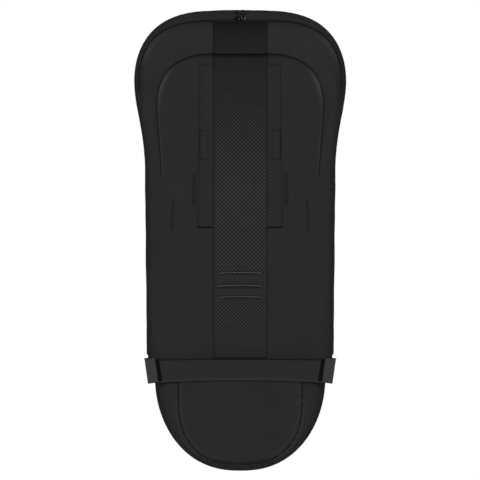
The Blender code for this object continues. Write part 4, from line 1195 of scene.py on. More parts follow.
def pouch_half(z, inset):
    """Half width of the pouch at a height."""
    below = np.clip((TOE_CENTRE - z) / (TOE_RISE - inset), 0.0, 1.0)
    toe = (TOE_HALF - inset) * (1 - below**TOE_RISE_POWER) ** (1 / TOE_POWER)
    return np.where(z < TOE_CENTRE, toe, half_width(np.maximum(z, TOE_CENTRE)) - inset)


def toe_ratio(x, z, inset):
    """How far out a point is, as a share of the way to the pouch's outline."""
    below = np.maximum(TOE_CENTRE - z, 0.0) / (TOE_RISE - inset)
    toe = (np.abs(x) / (TOE_HALF - inset)) ** TOE_POWER + below**TOE_RISE_POWER
    side = np.abs(x) / np.maximum(pouch_half(z, inset), NO_LENGTH)
    return np.where(z < TOE_CENTRE, toe ** (1 / TOE_POWER), side)


def pouch_front(x, z, inset):
    """Depth of the pouch's front face."""
    return WIDEST_DEPTH + (FRONT_DEPTH - inset - WIDEST_DEPTH) * dome_rise(toe_ratio(x, z, inset))


def pouch_back(x, z, inset):
    """Depth of the pouch's back: a round gusset between the outline and the sole."""
    below = np.minimum(z - TOE_CENTRE, 0.0)
    away = np.hypot(x, below) * (1 / np.maximum(toe_ratio(x, z, inset), 1e-9) - 1)
    to_outline = np.clip(np.where(below < 0, away, pouch_half(z, inset) - np.abs(x)), 0.0, None)
    down = np.minimum(z - SOLE_CENTRE, 0.0)
    egg = np.abs(x / (SOLE_HALF - inset)) ** SOLE_POWER + np.abs(down / (SOLE_RISE - inset)) ** SOLE_POWER
    egg = egg ** (1 / SOLE_POWER)
    to_sole = np.maximum(1 - 1 / np.maximum(egg, 1.0), 0.0) * np.hypot(x, down)
    share = to_outline / np.maximum(to_outline + to_sole, 1e-9)
    full = np.maximum(1 - (1 - share) ** GUSSET_POWER, 0.0) ** (1 / GUSSET_POWER)
    return WIDEST_DEPTH - (WIDEST_DEPTH - SOLE_DEPTH - inset) * full


def sole_right(outset, top):
    """Right half of the sole's outline from the toe up to a height."""
    turn = np.linspace(math.pi / 2, 0.0, 120)
    x, down = superellipse(SOLE_HALF + outset, SOLE_RISE + outset, SOLE_POWER, turn)
    toe = np.column_stack([x, SOLE_CENTRE - down])
    return np.vstack([toe, [(SOLE_HALF + outset, top)]])


def pouch_slices(inset, lower_mouth):
    """Grid of points of the pouch at a distance under its face, from its lowered mouth to its toe."""
    angle = np.linspace(0.0, math.pi, SLICE_POINTS)
    share = np.concatenate([np.cos(angle), -np.cos(angle)[1:-1]])
    is_front = np.arange(len(share)) < SLICE_POINTS

    def widths_and_depths(z):
        x = pouch_half(z, inset) * share
        return x, np.where(is_front, pouch_front(x, z, inset), pouch_back(x, z, inset))

    slices = []
    for up in np.linspace(1.0, 0.0, SIDE_SLICES, endpoint=False):
        z = np.full(len(share), TOE_CENTRE)
        for _ in range(3):
            x, y = widths_and_depths(z)
            mouth = ease(MOUTH_BACK, MOUTH_FRONT, (y - RIM) / MOUTH_STEP) - lower_mouth
            z = TOE_CENTRE + (mouth - TOE_CENTRE) * up
        slices.append(np.column_stack([x, y, z]))
    for turn in np.linspace(math.pi / 2, 0.0, TOE_SLICES):
        z = np.full(len(share), TOE_CENTRE - (TOE_RISE - inset) * math.cos(turn))
        slices.append(np.column_stack([*widths_and_depths(z), z]))
    return np.array(slices)


def sleeve(outer, inner):
    """Rings of a wall between two grids whose last rows are points, with a round mouth."""
    middle = (outer[0] + inner[0]) / 2
    lip = middle + (0.0, 0.0, 1.0) * np.linalg.norm(outer[0] - inner[0], axis=1)[:, None] / 2
    return np.concatenate([outer[::-1], lip[None], inner])


def above_toe(points):
    """0 at the toe's end and 1 from a little above it."""
    return ease(0.0, 1.0, (points[:, 2] - TOE_SHADE_LOW) / TOE_SHADE_RISE)


# %% Padded wall and fleece of the foot pouch
POUCH_PUCKER, PUCKER_PLACE, PUCKER_SPREAD = 0.0010, SOLE_DEPTH + 0.004, 0.010
FLEECE_DROP = 0.003
FRONT_PAINTED_LIGHT, GUSSET_PAINTED_LIGHT, TOE_SHADE = 0.17, 0.19, -0.12
SEAM_HIGHLIGHT, SEAM_HIGHLIGHT_OUT, SEAM_HIGHLIGHT_WIDTH = 0.5, 0.0052, 0.0045
outer = pouch_slices(0.0, PAD_WALL / 2)
walk = np.cumsum(np.linalg.norm(np.gradient(outer, axis=1), axis=2), axis=1)
at_seam = fade(outer[..., 1] - PUCKER_PLACE, PUCKER_SPREAD)
outer[..., 1] += POUCH_PUCKER * at_seam * pucker(walk) * (outer[..., 1] < WIDEST_DEPTH)
pouch = piece("foot_pouch", sleeve(outer, pouch_slices(PAD_WALL, PAD_WALL / 2)), OUTER, "back",
              ("foot_shell", "foot_padding"))
# Painted light on the pouch: its front and gusset are lightened against their shade, a painted highlight runs
# beside the sole's seam, and painted shade darkens the toe's end.
here = mesh_points(pouch)
from_seam = distance_to(sole_right(SEAM_HIGHLIGHT_OUT, MOUTH_BACK), np.abs(here))
beside_seam = SEAM_HIGHLIGHT * fade(from_seam, SEAM_HIGHLIGHT_WIDTH)
gusset = TOE_SHADE + (GUSSET_PAINTED_LIGHT + beside_seam) * above_toe(here)
set_painted_light(pouch, np.where(here[:, 1] < WIDEST_DEPTH, gusset, FRONT_PAINTED_LIGHT))
under = PAD_WALL + LAYER_GAP
foot_face = pouch_slices(under, FLEECE_DROP)
rings = sleeve(foot_face, pouch_slices(under + LINING_WALL, FLEECE_DROP))
foot_fleece = piece("foot_fleece", rings, FLEECE, "back", ("foot_lining",))

# %% [markdown]
# ## Sole
# A separate panel closes the pouch behind, edged with a piping. The seam gathers the cloth, so that the
# piping is a little wavy and the panel is crowned between its edges.

# %% Sole panel and piping
SOLE_TOP = BACK_HEM - 0.0006
SOLE_SPINE = (SOLE_CENTRE, SOLE_TOP - 0.05)
SOLE_INSET = 0.0006
SOLE_CORNER_IN, SOLE_CORNER_DOWN = 0.004, 0.003
SOLE_RATIOS = np.concatenate([[1.0], 1 - np.linspace(0.012, 1.0, 26) ** 1.15])
SOLE_CROWN, SOLE_EDGE, SOLE_UNDER = 0.0027, 0.0006, 0.0004
CROWN_REACH = 0.012
SOLE_PITCH, SOLE_PUCKER, GATHER_REACH = 0.016, 0.0006, 0.05
SOLE_SWAY = 0.0003
SOLE_HIGHLIGHT_AT_TOE, SOLE_HIGHLIGHT_WIDTH = 0.35, 0.0028
CORD_SIDES = 12
CORD_POINTS = 420
CORD_PUCKER = 0.0004
UNEVEN_PITCH = 0.019
THIN_LOW, THIN_RISE = 0.012, 0.03
PIPING_RADIUS = 0.0016
PIPING_PAINTED_LIGHT = 0.75
SEAM_RADIUS, SEAM_OUT = 0.0011, 0.0010


def sole_cord(name, outset, radius, wave, uneven, finish, stands_for=(), at_toe=1.0):
    """Cord along the sole's seam, drawn in and out by the gathers, and thinner at the toe if so told."""
    half = sole_right(outset, SOLE_TOP)
    path = even(np.vstack([(half * MIRROR)[::-1], half[1:]]), CORD_POINTS)
    step = np.gradient(path, axis=0)
    walk = np.cumsum(np.linalg.norm(step, axis=1))
    gather = pucker(walk, SOLE_PITCH)
    path = path + unit(np.column_stack([step[:, 1], -step[:, 0]])) * (wave * gather)[:, None]
    line = at_depth(path, SOLE_DEPTH - radius * 0.5 + CORD_PUCKER * gather)
    thick = radius * (1 + uneven * pucker(walk, UNEVEN_PITCH))
    thick = thick * ease(at_toe, 1.0, (path[:, 1] - THIN_LOW) / THIN_RISE)
    first, last = (np.broadcast_to(line[end], (1, CORD_SIDES, 3)) for end in (0, -1))
    rings = np.concatenate([first, cord_rings(line, thick, CORD_SIDES), last])
    return piece(name, rings, finish, "back", stands_for)


sole_corner = [(SOLE_HALF - SOLE_CORNER_IN, SOLE_TOP), (0.0, SOLE_TOP)]
sole_side = sole_right(-SOLE_INSET, SOLE_TOP - SOLE_CORNER_DOWN)
sole_loop = mirrored(even(np.vstack([sole_side, sole_corner]), 150))
gather = pucker(travelled_round(sole_loop), SOLE_PITCH)
rings = [at_depth(towards_spine(sole_loop, r, *SOLE_SPINE), SOLE_DEPTH - SOLE_UNDER) for r in (0.0, 0.5, 1.0)]
for ratio in SOLE_RATIOS:
    ring = towards_spine(sole_loop, ratio, *SOLE_SPINE)
    out = 1 - ratio
    crown = SOLE_EDGE + SOLE_CROWN * (1 - math.exp(-out / CROWN_REACH))
    crown = crown + SOLE_PUCKER * gather * fade(out - GATHER_REACH, GATHER_REACH)
    rings.append(at_depth(ring, SOLE_DEPTH - crown + SOLE_SWAY * sway(2 * ring[:, 0], 2 * ring[:, 1]) * out))
sole = piece("sole_panel_pad", rings, SOLE, "back", ("sole_panel",))
# Painted highlight along the sole's edge, weaker at the toe.
here = mesh_points(sole)
along_edge = SOLE_HIGHLIGHT_AT_TOE + (1 - SOLE_HIGHLIGHT_AT_TOE) * above_toe(here)
set_painted_light(sole, along_edge * fade(distance_to(sole_loop, here), SOLE_HIGHLIGHT_WIDTH))
piping = sole_cord("sole_piping_cord", PIPING_RADIUS - SOLE_INSET, PIPING_RADIUS, wave=0.0003, uneven=0.05,
                   finish=SOLE, stands_for=("sole_piping",))
# The piping is lightened by painted light, against the shade of the seam's groove.
set_painted_light(piping, PIPING_PAINTED_LIGHT * above_toe(mesh_points(piping)))
# A dark cord outside the piping paints the shadow line of the seam's groove.
sole_cord("sole_seam_shadow_line", 2 * PIPING_RADIUS + SEAM_OUT, SEAM_RADIUS, wave=0.0008, uneven=0.5,
          finish=SEAM_AND_SHADE_LINE, at_toe=0.6)

# %% [markdown]
# ## Cover
# The padded cover domes over the child and zips to the back. It has an oval opening for the face and folds
# open over the foot pouch. Rays go from the opening to the zip and to the fold line in the flat, and each
# point of a ray is lifted on to the dome, so the piece is one ring of cloth with no pole. The outer pad is
# then blown up a little by a cloth simulation.

# %% The cover's dome over the flat
ROLL_BACK = 0.30
FACE_MIDDLE, FACE_HALF, FACE_RISE = TOP - 0.1925, 0.150, 0.1175
FACE_POWER = 2.8
FOLD_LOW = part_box("cover_shell")[0].z - TOE
RAYS = 300
RAY_POINTS = 56
COVER_REACH, FLEECE_REACH = 0.80, 0.74
COVER_HEM, FLEECE_HEM = PAD_WALL / 2, 0.004


def outline_ratio(x, z, inset):
    """How far out a flat point is, as a share of the way to the outline."""
    up = np.maximum(z - HOOD_CENTRE, 0.0)
    hood = (np.abs(x) / (HOOD_HALF - inset)) ** HOOD_POWER + (up / (HOOD_RISE - inset)) ** HOOD_RISE_POWER
    return np.where(up > 0, hood ** (1 / HOOD_POWER), np.abs(x) / (half_width(z) - inset))


def dome(x, z, inset):
    """Points of the dome over flat points; past the outline it rolls back to the zip."""
    ratio = np.maximum(outline_ratio(x, z, inset), 1e-9)
    spine_z = np.minimum(z, HOOD_CENTRE)
    front = WIDEST_DEPTH + (FRONT_DEPTH - inset - WIDEST_DEPTH) * dome_rise(ratio)
    past = np.clip((ratio - 1) / ROLL_BACK, 0.0, 1.0)
    shrink = 1 / np.maximum(ratio, 1.0)
    on_x, on_z = x * shrink, spine_z + (z - spine_z) * shrink ** (HOOD_POWER / HOOD_RISE_POWER)
    up = np.maximum(on_z - HOOD_CENTRE, 0.0)
    seam_rise = SEAM_TOP - HOOD_CENTRE - inset
    hood_scale = (np.abs(on_x) / (SEAM_HALF - inset)) ** SEAM_POWER + (up / seam_rise) ** SEAM_RISE_POWER
    side_scale = (half_width(on_z) - inset) / (seam_half_width(on_z) - inset)
    scale = np.where(up > 0, hood_scale ** (1 / SEAM_POWER), side_scale)
    drawn = 1 + (1 / scale - 1) * past**2
    y = np.where(ratio > 1, WIDEST_DEPTH + (COVER_EDGE - WIDEST_DEPTH) * past, front)
    seam_z = spine_z + (on_z - spine_z) * drawn ** (SEAM_POWER / SEAM_RISE_POWER)
    return np.stack([on_x * drawn, y, seam_z], axis=-1)


def cover_border(edge_share, low):
    """Flat outline of the cover: the fold line, then round by the zip."""
    out = 1 + ROLL_BACK * edge_share
    z = np.linspace(low, HOOD_CENTRE, 160)
    angle = np.linspace(0.0, math.pi / 2, 240)
    rise = HOOD_RISE * out ** (HOOD_POWER / HOOD_RISE_POWER)
    x, up = superellipse(HOOD_HALF * out, rise, HOOD_POWER, angle, HOOD_RISE_POWER)
    right = np.column_stack([np.append(half_width(z) * out, x[1:]), np.append(z, HOOD_CENTRE + up[1:])])
    bottom = np.column_stack([np.linspace(0.0, right[0, 0], 120), np.full(120, low)])
    return mirrored(np.vstack([bottom[:-1], right]))


def cover_grid(inset, edge_share, low, grow):
    """Grid of points of the cover, one row for each ray, from the face opening to the border."""
    border = cover_border(edge_share, low)
    border = np.vstack([border, border[:1]])
    gone = travelled(dome(border[:, 0], border[:, 1], inset))
    at = np.linspace(0.0, gone[-1], RAYS, endpoint=False)
    far = np.column_stack([np.interp(at, gone, column) for column in border.T])
    angle = np.arctan2(far[:, 1] - FACE_MIDDLE, far[:, 0])
    reach = (np.abs(np.cos(angle)) / (FACE_HALF + grow)) ** FACE_POWER
    reach = (reach + (np.abs(np.sin(angle)) / (FACE_RISE + grow)) ** FACE_POWER) ** (-1 / FACE_POWER)
    near = np.column_stack([np.cos(angle) * reach, FACE_MIDDLE + np.sin(angle) * reach])
    share = np.linspace(0.0, 1.0, 400)[:, None]
    grid = []
    for a, b in zip(near, far):
        line = a + (b - a) * share
        grid.append(even(dome(line[:, 0], line[:, 1], inset), RAY_POINTS))
    return np.array(grid)


cover_face, cover_under = (cover_grid(inset, COVER_REACH, FOLD_LOW + COVER_HEM, COVER_HEM)
                           for inset in (0.0, PAD_WALL))
print("cover grid", cover_face.shape)

# %% [markdown]
# The outer face of the cover is filled by simulation: its edges are pinned where they are sewn, the cloth
# is cut a little large and a light pressure blows it out. That gives the soft pulls beside the seams that a
# formula lacks. How far a point may move is capped. It is least at the widest part, where the outline stays
# as the photograph has it, and beside the fold, where a band lies on the cover.

# %% Blow up the cover's face
COVER_PRESSURE = 1.2
COVER_SPARE = -0.012
COVER_CAP = 0.006
COVER_FRAMES = 20
COVER_SIDES, SIDES_DEPTH = 0.12, 0.035
SEWN_COLUMNS = (0, 1, -2, -1)
BAND_CLEAR, BAND_FADE = 0.024, 0.05


def blown_up(grid):
    """Cloth simulation of a grid that wraps round, pinned along its edge columns."""
    rows, columns = grid.shape[:2]
    data = bpy.data.meshes.new("blown_cloth")
    data.from_pydata(grid.reshape(-1, 3).tolist(), [], quads(rows, columns, True, False).tolist())
    made = bpy.data.objects.new("blown_cloth", data)
    bpy.context.collection.objects.link(made)
    pins = made.vertex_groups.new(name="sewn")
    index = np.arange(rows * columns).reshape(rows, columns)
    for column in SEWN_COLUMNS:
        pins.add(index[:, column].tolist(), 1.0, "REPLACE")
    sim = made.modifiers.new("cloth", "CLOTH")
    cloth_settings = sim.settings
    cloth_settings.quality = 6
    cloth_settings.mass = 0.25
    cloth_settings.tension_stiffness = 25.0
    cloth_settings.compression_stiffness = 25.0
    cloth_settings.shear_stiffness = 10.0
    cloth_settings.bending_stiffness = 2.0
    cloth_settings.air_damping = 6.0
    cloth_settings.shrink_min = COVER_SPARE
    cloth_settings.use_pressure = True
    cloth_settings.uniform_pressure_force = COVER_PRESSURE
    cloth_settings.vertex_group_mass = "sewn"
    cloth_settings.effector_weights.gravity = 0.0
    sim.point_cache.frame_end = COVER_FRAMES
    scene = bpy.context.scene
    for moment in range(1, COVER_FRAMES + 1):
        scene.frame_set(moment)
    shape = made.evaluated_get(bpy.context.evaluated_depsgraph_get()).data
    moved = np.empty(rows * columns * 3)
    shape.vertices.foreach_get("co", moved)
    scene.frame_set(1)
    bpy.data.objects.remove(made)
    shift = moved.reshape(grid.shape) - grid
    shift[..., ::2] *= ease(COVER_SIDES, 1.0, (grid[..., 1] - WIDEST_DEPTH) / SIDES_DEPTH)[..., None]
    shift *= ease(0.0, 1.0, (grid[..., 2] - FOLD_LOW - BAND_CLEAR) / BAND_FADE)[..., None]
    far = np.linalg.norm(shift, axis=2)[..., None]
    print("cover moved at most", round(float(far.max()), 4), "m before the cap")
    return grid + shift * np.minimum(1.0, COVER_CAP / np.maximum(far, 1e-9))


cover_face = blown_up(cover_face)

rings = sheet_rings(cover_face, cover_under, True)
cover = piece("cover_pad", rings, COVER, "cover", ("cover_shell", "cover_padding"), wrap=True)
under = PAD_WALL + LAYER_GAP
fleece_face, fleece_inner = (cover_grid(inset, FLEECE_REACH, FOLD_LOW + FLEECE_HEM, FLEECE_HEM)
                             for inset in (under, under + LINING_WALL))
rings = sheet_rings(fleece_face, fleece_inner, True)
cover_fleece = piece("cover_fleece", rings, FLEECE, "cover", ("cover_lining",), wrap=True)

# %% [markdown]
# ## Edge of the face opening and the fold
# A soft roll of binding goes round the face opening, over both layers. In front, a band of cloth crosses
# the fold line; it rides on neither body.

# %% Binding of the face opening
BINDING_RADIUS = 0.0085
BINDING_IN = 0.0062
BINDING_UNDER = 0.0058
BINDING_POINTS = 220
BINDING_UNEVEN, BINDING_PITCH = 0.03, 0.021
angle = np.linspace(0.0, FULL_TURN, BINDING_POINTS, endpoint=False)
ring_x, ring_up = superellipse(FACE_HALF - BINDING_IN, FACE_RISE - BINDING_IN, FACE_POWER, angle)
ring_line = even(np.column_stack([ring_x, FACE_MIDDLE + ring_up]), BINDING_POINTS, True)
ring_path = dome(ring_line[:, 0], ring_line[:, 1], BINDING_UNDER)
thick = BINDING_RADIUS * (1 + BINDING_UNEVEN * pucker(travelled_round(ring_path), BINDING_PITCH))
piece("face_opening_roll", cord_rings(ring_path, thick, 16, True), BINDING, "cover",
      ("face_opening_binding",), wrap=True)

# %% Band across the fold
BAND_HALF = 0.140
BAND_REACH = 0.022
FOLD_LINE = (FOLD_LOW + MOUTH_FRONT) / 2
BAND_LIFT = 0.0014
BAND_THICKNESS = 0.0012
BAND_ROWS = 22
rows = []
for side in np.sin(np.linspace(-math.pi / 2, math.pi / 2, 80)):
    reach = BAND_REACH * (1 - 0.7 * abs(side) ** 24)
    z = np.linspace(FOLD_LINE - reach, FOLD_LINE + reach, BAND_ROWS)
    rows.append(dome(np.full(BAND_ROWS, BAND_HALF * side), z, -BAND_LIFT))
band_face = np.array(rows)
fold_band = cloth("fold_band", band_face, BAND_THICKNESS, COVER, None, "softshell", behind=(0.0, -1.0, 0.0))
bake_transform(fold_band)

# %% [markdown]
# ## What repeats
# Dots, stitches and zip teeth are the same small shape over and over, so Geometry Nodes set them out. Two
# trees do it all: one puts a dot on every point of a mesh, the other walks along paths at a fixed pitch.
# Both turn each copy to face out of the surface, which the points carry as an attribute. The trees end in
# real geometry, because an export drops instances.

# %% Geometry Nodes trees for dots and for rows along a path
def new_tree(name, numbers):
    """Node tree with a geometry, some named lengths and a material as inputs."""
    tree = bpy.data.node_groups.new(name, "GeometryNodeTree")
    tree.interface.new_socket("Geometry", in_out="INPUT", socket_type="NodeSocketGeometry")
    for number in numbers:
        tree.interface.new_socket(number, in_out="INPUT", socket_type="NodeSocketFloat")
    tree.interface.new_socket("Finish", in_out="INPUT", socket_type="NodeSocketMaterial")
    tree.interface.new_socket("Geometry", in_out="OUTPUT", socket_type="NodeSocketGeometry")
    return tree


def add_node(tree, kind, settings=None, links=None):
    """Add a node, set it and feed its sockets."""
    made = tree.nodes.new(kind)
    for key, value in (settings or {}).items():
        setattr(made, key, value)
    for key, value in (links or {}).items():
        if hasattr(value, "is_output"):
            tree.links.new(value, made.inputs[key])
        else:
            made.inputs[key].default_value = value
    return made


def copies(tree, given, points, turn):
    """Set a small round shape on points, turned and sized, and end the tree."""
    seed = add_node(tree, "GeometryNodeMeshUVSphere", None, {"Segments": 8, "Rings": 4, "Radius": 0.5})
    size = add_node(tree, "ShaderNodeCombineXYZ", None, {k: given.outputs[n] for k, n in enumerate(SIZES)})
    links = {"Points": points, "Instance": seed.outputs["Mesh"], "Rotation": turn, "Scale": size.outputs[0]}
    placed = add_node(tree, "GeometryNodeInstanceOnPoints", None, links)
    real = add_node(tree, "GeometryNodeRealizeInstances", None, {0: placed.outputs[0]})
    smooth = add_node(tree, "GeometryNodeSetShadeSmooth", None, {0: real.outputs[0]})
    links = {"Geometry": smooth.outputs[0], "Material": given.outputs["Finish"]}
    finished = add_node(tree, "GeometryNodeSetMaterial", None, links)
    add_node(tree, "NodeGroupOutput", None, {0: finished.outputs[0]})


def facing(tree, rotation=None):
    """Rotation whose Z looks out of the surface."""
    out = add_node(tree, "GeometryNodeInputNamedAttribute", {"data_type": "FLOAT_VECTOR"}, {"Name": "out"})
    links = {"Vector": out.outputs[0]}
    settings = {"axis": "Z"}
    if rotation is not None:
        links["Rotation"] = rotation
        settings["pivot_axis"] = "X"
    return add_node(tree, "FunctionNodeAlignRotationToVector", settings, links).outputs[0]


SIZES = ("Length", "Width", "Height")
DOTS = new_tree("dots_on_points", SIZES)
given = add_node(DOTS, "NodeGroupInput")
copies(DOTS, given, given.outputs["Geometry"], facing(DOTS))

ROWS = new_tree("rows_along_paths", ("Pitch",) + SIZES)
given = add_node(ROWS, "NodeGroupInput")
curve = add_node(ROWS, "GeometryNodeMeshToCurve", None, {0: given.outputs["Geometry"]})
spaced = add_node(ROWS, "GeometryNodeResampleCurve", {"mode": "LENGTH"},
                  {"Curve": curve.outputs[0], "Length": given.outputs["Pitch"]})
tangent = add_node(ROWS, "GeometryNodeInputTangent")
lying = add_node(ROWS, "FunctionNodeAlignRotationToVector", {"axis": "X"}, {"Vector": tangent.outputs[0]})
copies(ROWS, given, spaced.outputs[0], facing(ROWS, lying.outputs[0]))


def grown(name, tree, points, out, edges, sizes, finish, body):
    """Run a tree on points that know which way is out, and keep the result as a plain mesh piece."""
    seed_data = bpy.data.meshes.new("seed")
    seed_data.from_pydata((np.asarray(points) + (0.0, 0.0, TOE)).tolist(), edges, [])
    attribute = seed_data.attributes.new("out", "FLOAT_VECTOR", "POINT")
    attribute.data.foreach_set("vector", np.asarray(out, float).ravel())
    seed = bpy.data.objects.new("seed", seed_data)
    bpy.context.collection.objects.link(seed)
    modifier = seed.modifiers.new("grow", "NODES")
    modifier.node_group = tree
    values = {**sizes, "Finish": finish}
    for item in tree.interface.items_tree:
        if item.in_out == "INPUT" and item.name in values:
            modifier[item.identifier] = values[item.name]
    bpy.context.view_layer.update()
    data = bpy.data.meshes.new_from_object(seed.evaluated_get(bpy.context.evaluated_depsgraph_get()))
    bpy.data.objects.remove(seed)
    if "out" in data.attributes:
        data.attributes.remove(data.attributes["out"])
    data.name = name
    return dress(name, data, finish, body)


def sewn(name, paths, pitch, length, thickness, finish, body="back", closed=False):
    """Stitches along open or closed paths, each given as its points and the way they face."""
    points, outs, edges = [], [], []
    for line, out in paths:
        first = sum(len(p) for p in points)
        count = len(line)
        points.append(np.asarray(line, float))
        outs.append(np.broadcast_to(out, (count, 3)))
        edges += [(first + k, first + k + 1) for k in range(count - 1)]
        if closed:
            edges.append((first + count - 1, first))
    sizes = {"Pitch": pitch, "Length": length, "Width": thickness, "Height": thickness}
    grown(name, ROWS, np.vstack(points), np.vstack(outs), edges, sizes, finish, body)


print("trees ready")

# %% [markdown]
# ## Rubber dots
# The strip grips the seat with rows of printed rubber dots, every second row shifted by half a step. Dots
# that would fall in a crotch slot are left out, as the printer would leave them.

# %% Dots on both parts of the strip
DOT_PITCH = 0.0087
DOT_WIDTH = 0.0024
DOT_HEIGHT = 0.0011
DOT_MARGIN = 0.003
SLOT_MARGIN = 0.0058
FIRST_DOT, LAST_DOT = 0.005, 0.001
UNDER_POCKET = 0.01
BACKWARD = np.array([0.0, -1.0, 0.0])


def in_crotch_slot(x, z):
    """Whether a dot would fall in a slot or on its lips."""
    beside = min(abs(z - height) for height in CROTCH_HEIGHTS)
    return beside < SLOT_MARGIN and abs(x) < CROTCH_LENGTH / 2 + DOT_MARGIN


points, outs = [], []
columns_each_side = int(STRIP_HALF / DOT_PITCH)
for shift in (0.0, 0.5):
    for column in range(-columns_each_side - 1, columns_each_side + 1):
        x = (column + 0.5 + shift) * DOT_PITCH
        if abs(x) > STRIP_HALF - DOT_MARGIN:
            continue
        for z in np.arange(STRIP_LOW + FIRST_DOT + shift * DOT_PITCH, POCKET_MOUTH + UNDER_POCKET, DOT_PITCH):
            if not in_crotch_slot(x, z):
                points.append((x, float(strip_depth(z)), z))
                outs.append(BACKWARD)
        line, ways = upper_strip_line(x, 40, 40)
        gone = travelled(line)
        for at in np.arange(DOT_MARGIN + shift * DOT_PITCH, gone[-1] - LAST_DOT, DOT_PITCH):
            points.append([np.interp(at, gone, axis) for axis in line.T])
            outs.append([np.interp(at, gone, axis) for axis in ways.T])
dot_sizes = {"Length": DOT_WIDTH, "Width": DOT_WIDTH, "Height": DOT_HEIGHT}
grown("rubber_dots", DOTS, points, outs, [], dot_sizes, RUBBER, "back")

# %% [markdown]
# ## Zip
# Two woven tapes carry the zip, each with a nylon coil whose turns show as small teeth. Round the hood the
# zip lies in a groove between the panel and the cover, so the back tape slopes out to it, and behind the
# coils one tape laps the other.

# %% Tapes and teeth
ZIP_START = FOLD_LINE + 0.008
ZIP_POINTS = 420
ZIP_MIDDLE = (0.0, 0.0, 0.6)
TAPE_THICKNESS = 0.001
TOOTH_PITCH, TOOTH_SHARE = 0.0024, 0.62
TOOTH_HEIGHT, TOOTH_INSET = 0.0026, 0.0009
TOOTH_SPARE = 0.0002
LAP_LINES = {"back": [(1.0, 0.0014, RIM - 0.0006), (0.5, 0.0022, RIM + 0.0006), (0.0, 0.0026, RIM + 0.0022),
                      (0.0, 0.0026, RIM + 0.0060)],
             "cover": [(0.0, 0.0042, RIM + 0.0056), (0.0, 0.0042, RIM + 0.0100), (0.0, 0.0042, RIM + 0.0140)]}
zip_path = even(both_sides(back_side(ZIP_START)), ZIP_POINTS)
along = unit(np.gradient(zip_path, axis=0))
flat_out = np.column_stack([along[:, 1], -along[:, 0]])
zip_out = at_depth(flat_out, 0.0)
slope = ease(0.0, GROOVE, 1 - (HOOD_CENTRE - zip_path[:, 1]) / GROOVE_LENGTH)[:, None]
zip_tapes = []
for body, sewn_to, start in (("back", "back_panel", 0), ("cover", "cover_pad", 1)):
    laps = [at_depth(zip_path - flat_out * (slope * share + inset), y) for share, inset, y in LAP_LINES[body]]
    tape = np.stack(laps, axis=1)
    normal = grid_normals(tape)
    inside = np.sign(np.einsum("ijk,ijk->ij", normal, ZIP_MIDDLE - tape).mean())
    rings = sheet_rings(tape, tape + normal * inside * TAPE_THICKNESS)
    weave = piece(f"zip_tape_{body}_weave", rings, ZIP_TAPE, body, (f"zip_tape_{body}",))
    zip_tapes.append((weave, tape, sewn_to))
    low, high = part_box(f"zip_coil_{body}")
    line = at_depth(zip_path - flat_out * TOOTH_INSET, (low.y + high.y) / 2)[start:]
    edges = [(k, k + 1) for k in range(len(line) - 1)]
    sizes = {"Pitch": TOOTH_PITCH, "Length": TOOTH_PITCH * TOOTH_SHARE, "Width": high.y - low.y + TOOTH_SPARE,
             "Height": TOOTH_HEIGHT}
    teeth = grown(f"zip_teeth_{body}", ROWS, line, zip_out[start:], edges, sizes, COIL, body)
    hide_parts(f"zip_coil_{body}")

# %% [markdown]
# ## Stitching
# Seams are sewn in thread close to the colour of the cloth, and only the crotch slots are worked in beige.
# The row below each slit is a darker copy of that thread, which paints the shade under the slit. Each row of
# stitches lies on its cloth, close to the edge it holds.

# %% Topstitching and slot stitches
TOPSTITCH = {"pitch": 0.0036, "length": 0.0026, "thickness": 0.0006, "finish": DARK_THREAD}
# Edge stitches run as continuous dark rows: real stitching that also paints the shade lines at the patch's
# and tabs' edges.
EDGE_STITCH = {"pitch": 0.0021, "length": 0.0022, "thickness": 0.0012, "finish": DARK_THREAD}
# Hem rows are thick, nearly continuous and dark: painted shadow along the patch's lower edge and round the
# tabs, where hems are sewn.
HEM_AND_SHADE_LINE = {"pitch": 0.0021, "length": 0.0028, "thickness": 0.0018, "finish": SEAM_AND_SHADE_LINE}
# Slot rows are continuous and dark: stitching round each slot that also paints its shade outline.
SLOT_STITCH = {"pitch": 0.0016, "length": 0.0018, "thickness": 0.0013, "finish": SEAM_AND_SHADE_LINE}
CROTCH_STITCH = {"pitch": 0.0017, "length": 0.0012, "thickness": 0.0012}
STITCH_LIFT, EDGE_LIFT = 0.0001, 0.0002
STRIP_INSET = 0.0022
PATCH_INSETS = (0.0008, 0.0095)
PATCH_SPLIT = (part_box("harness_tab_left")[1].z - TOE - PATCH_LOW) / (PATCH_HIGH - PATCH_LOW)
PATCH_HEMS = (PATCH_LOW - 0.0004, PATCH_LOW + 0.0010)
STITCH_END = 0.001
TAB_STITCH_SINK = 0.0004
BAND_STITCH_LIFT, BAND_STITCH_IN, BAND_STITCH_END = 0.0016, 0.003, 0.006


def offset_row(grid, column, way):
    """Points along one column of a grid of cloth, lifted off its outer face, with the way they face."""
    normal = grid_normals(grid)
    normal *= np.sign(normal[..., 1].mean() * way[1])
    return grid[:, column] + normal[:, column] * STITCH_LIFT, normal[:, column]


def flat_row(x, y, z):
    """Points on a face that looks backward; single numbers stand for a whole row."""
    return np.column_stack(np.broadcast_arrays(x, y, z)), BACKWARD


